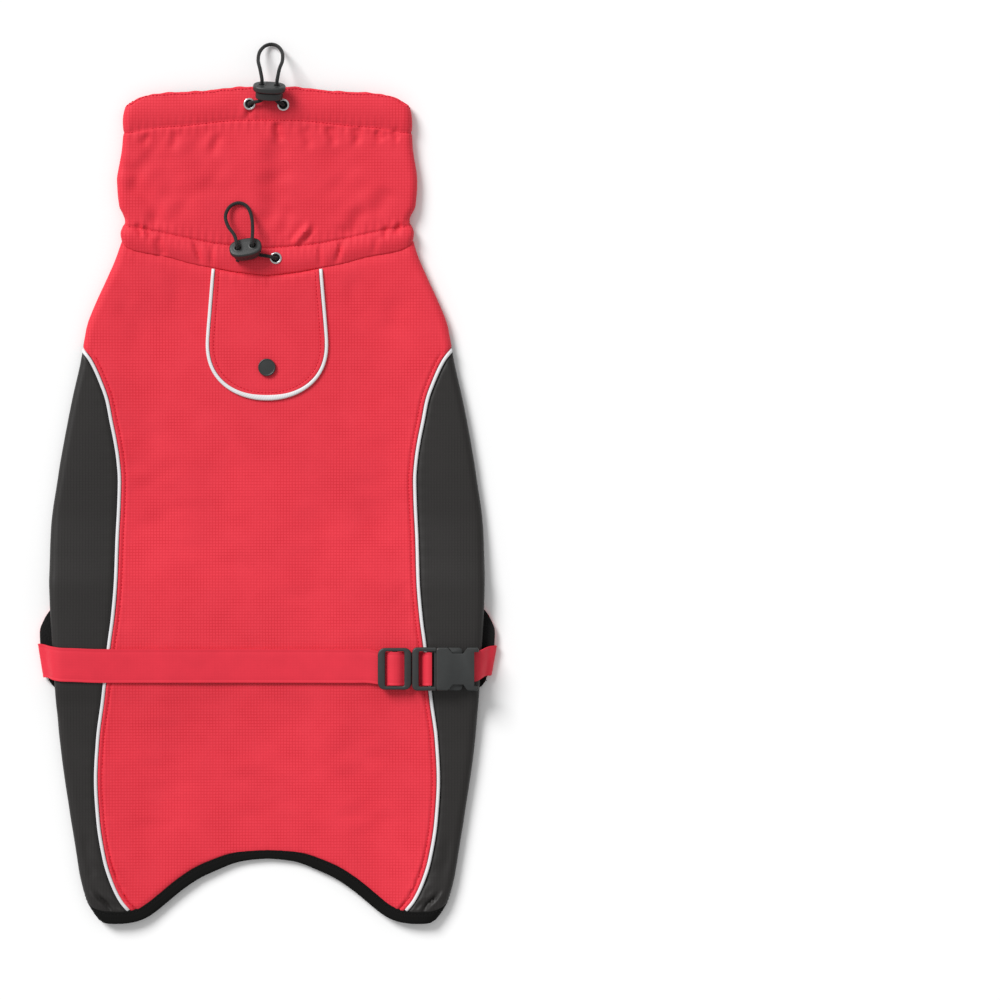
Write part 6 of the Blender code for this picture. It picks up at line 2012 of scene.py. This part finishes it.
class CoatEyelets(CoatOperator, Operator):
    """Make the eyelets of the collar's cord channels"""

    bl_idname = "coat.eyelets"
    bl_label = "Eyelets"

    def execute(self, context):
        middle = (EYELET_OUTER + EYELET_HOLE) / 2
        reach = (EYELET_OUTER - EYELET_HOLE) / 2
        rolled = [(middle + reach * cos(a), 0.25 + (EYELET_HEIGHT - 0.25) * sin(a))
                  for a in np.radians(np.linspace(0, 180, 11))]
        profile = [(EYELET_OUTER, 0)] + rolled + [(EYELET_HOLE, 0)]
        for name in EYELETS:
            base = eyelet_base(name)
            solid(name, turned_mesh(profile, 40, base), slot="eyelet_metal")
            # painted shade: a black disc in the eyelet's hole, standing for the shadow down into the cord
            # channel
            levels = ((base.z - 0.1, 0), (base.z + 0.3, 0))
            inside = prism_mesh(disc_plan(base.x, base.y, EYELET_HOLE + 0.2), levels)
            solid(name + "_inside", inside, slot="black_fleece", nodes=())
        return DONE


# raised rims round the holes of a lock's cap
RIM_WIDTH = 1.3
RIM_LEVELS = ((-1.5, 0), (-0.3, 0), (-0.08, 0.12), (0, 0.4))


def at_holes(operation, wider, levels):
    """The same change at both holes of a cord lock."""
    return [(operation, prism_mesh(disc_plan(side * LOCK_HOLE_APART / 2, 0, LOCK_HOLE / 2 + wider), levels))
            for side in (-1, 1)]


class CoatCordLocks(CoatOperator, Operator):
    """Make the two cord locks, each an oval cap over its button"""

    bl_idname = "coat.cord_locks"
    bl_label = "Cord locks"

    def execute(self, context):
        for which in LOCKS:
            placed = lock_frame(which)
            top = -LOCK_CAP - GAP
            low = top - BUTTON_HEIGHT
            cap = prism_mesh(oval_plan(LOCK_LONG, LOCK_SHORT), soft_levels(-LOCK_CAP, -0.25, 1.3, 5))
            changes = at_holes("UNION", RIM_WIDTH, RIM_LEVELS)
            changes += at_holes("DIFFERENCE", 0, flared_levels(-LOCK_CAP, 0, 0.5))
            solid(which + "_lock_body", cap, changes, placed)
            button = prism_mesh(oval_plan(BUTTON_LONG, BUTTON_SHORT), soft_levels(low, top, 0.9))
            changes = at_holes("DIFFERENCE", 0, flared_levels(low, top, 0.5))
            solid(which + "_lock_button", button, changes, placed)
        return DONE


# ---- stage
CAMERA_SPOT = (0.1617, 0.0017, 2.997)
CAMERA_LENS = 155  # in mm, as is the width of the sensor behind it
CAMERA_SENSOR = 36
SKY_STRENGTH = 0.52
LIGHT_SPOT = (-1, 1.1, 1.15)
LIGHT_SPREAD = 26  # degrees
LIGHT_STRENGTH = 2.9
FLOOR_COLOUR = "#F9F9F9"
FLOOR_REACH = 6
FLOOR_LOW = 0.0002  # how far the floor keeps under the garment


class CoatStage(CoatOperator, Operator):
    """Set up finishes, camera, floor, light and surroundings"""

    bl_idname = "coat.stage"
    bl_label = "Stage"

    def execute(self, context):
        FINISHES.clear()
        FINISHES.update(make_materials())
        scene = context.scene
        scene.view_settings.view_transform = "Standard"
        self.camera(scene)
        self.floor()
        self.light()
        world = bpy.data.worlds.new("studio")
        world.use_nodes = True
        fill(world.node_tree.nodes["Background"], {"Color": (1, 1, 1, 1), "Strength": SKY_STRENGTH})
        scene.world = world
        return DONE

    @staticmethod
    def camera(scene):
        """The photograph looks straight down; the garment fills the left half of its frame."""
        data = bpy.data.cameras.new("photo_camera")
        data.lens, data.sensor_width = CAMERA_LENS, CAMERA_SENSOR
        scene.camera = linked("photo_camera", data)
        scene.camera.location = CAMERA_SPOT

    @staticmethod
    def floor():
        """Pale matt surface without a shine."""
        mesh = bpy.data.meshes.new("floor")
        corners = np.array(((-1, -1), (1, -1), (1, 1), (-1, 1))) * FLOOR_REACH
        mesh.from_pydata([(*corner, -FLOOR_LOW) for corner in corners.tolist()], [], [(0, 1, 2, 3)])
        finish = bpy.data.materials.new("pale_matt_surface")
        finish.use_nodes = True
        fill(finish.node_tree.nodes["Principled BSDF"],
             {"Base Color": (*linear(FLOOR_COLOUR), 1), "Roughness": 1, "Specular IOR Level": 0})
        mesh.materials.append(finish)
        linked("floor", mesh)

    @staticmethod
    def light():
        """Soft even light from the upper left."""
        data = bpy.data.lights.new("key_light", "SUN")
        data.angle = radians(LIGHT_SPREAD)
        data.energy = LIGHT_STRENGTH
        made = linked("key_light", data)
        made.location = LIGHT_SPOT
        made.rotation_euler = (-Vector(LIGHT_SPOT)).to_track_quat("-Z", "Y").to_euler()


# ---- add-on
OPERATORS = (
    CoatStage, CoatDrawcords, CoatStitching, CoatPipings, CoatBindings, CoatLegLoops, CoatBackPanel,
    CoatSidePanels, CoatLinings, CoatCollar, CoatThroatPanel, CoatChestPanel, CoatLeashFlap, CoatSlider,
    CoatBuckle, CoatBelt, CoatPressStud, CoatEyelets, CoatCordLocks,
)


class CoatPanel(bpy.types.Panel):
    """Sizes, colours and steps of the coat"""

    bl_idname = "VIEW3D_PT_coat"
    bl_label = "Dog raincoat"
    bl_space_type = "VIEW_3D"
    bl_region_type = "UI"
    bl_category = "Raincoat"

    def draw(self, context):
        for title, group in (("Sizes", context.scene.coat_sizes), ("Colours", context.scene.coat_colours)):
            box = self.layout.box()
            box.label(text=title)
            for name in group.__annotations__:
                box.prop(group, name)
        column = self.layout.column(align=True)
        for operator in OPERATORS:
            column.operator(operator.bl_idname)


CLASSES = (CoatSizes, CoatColours, *OPERATORS, CoatPanel)


def register():
    for kind in CLASSES:
        bpy.utils.register_class(kind)
    bpy.types.Scene.coat_sizes = PointerProperty(type=CoatSizes)
    bpy.types.Scene.coat_colours = PointerProperty(type=CoatColours)


def unregister():
    del bpy.types.Scene.coat_colours
    del bpy.types.Scene.coat_sizes
    for kind in reversed(CLASSES):
        bpy.utils.unregister_class(kind)


def main():
    register()
    for operator in OPERATORS:
        getattr(bpy.ops.coat, operator.bl_idname.removeprefix("coat."))()


if __name__ == "__main__":
    main()
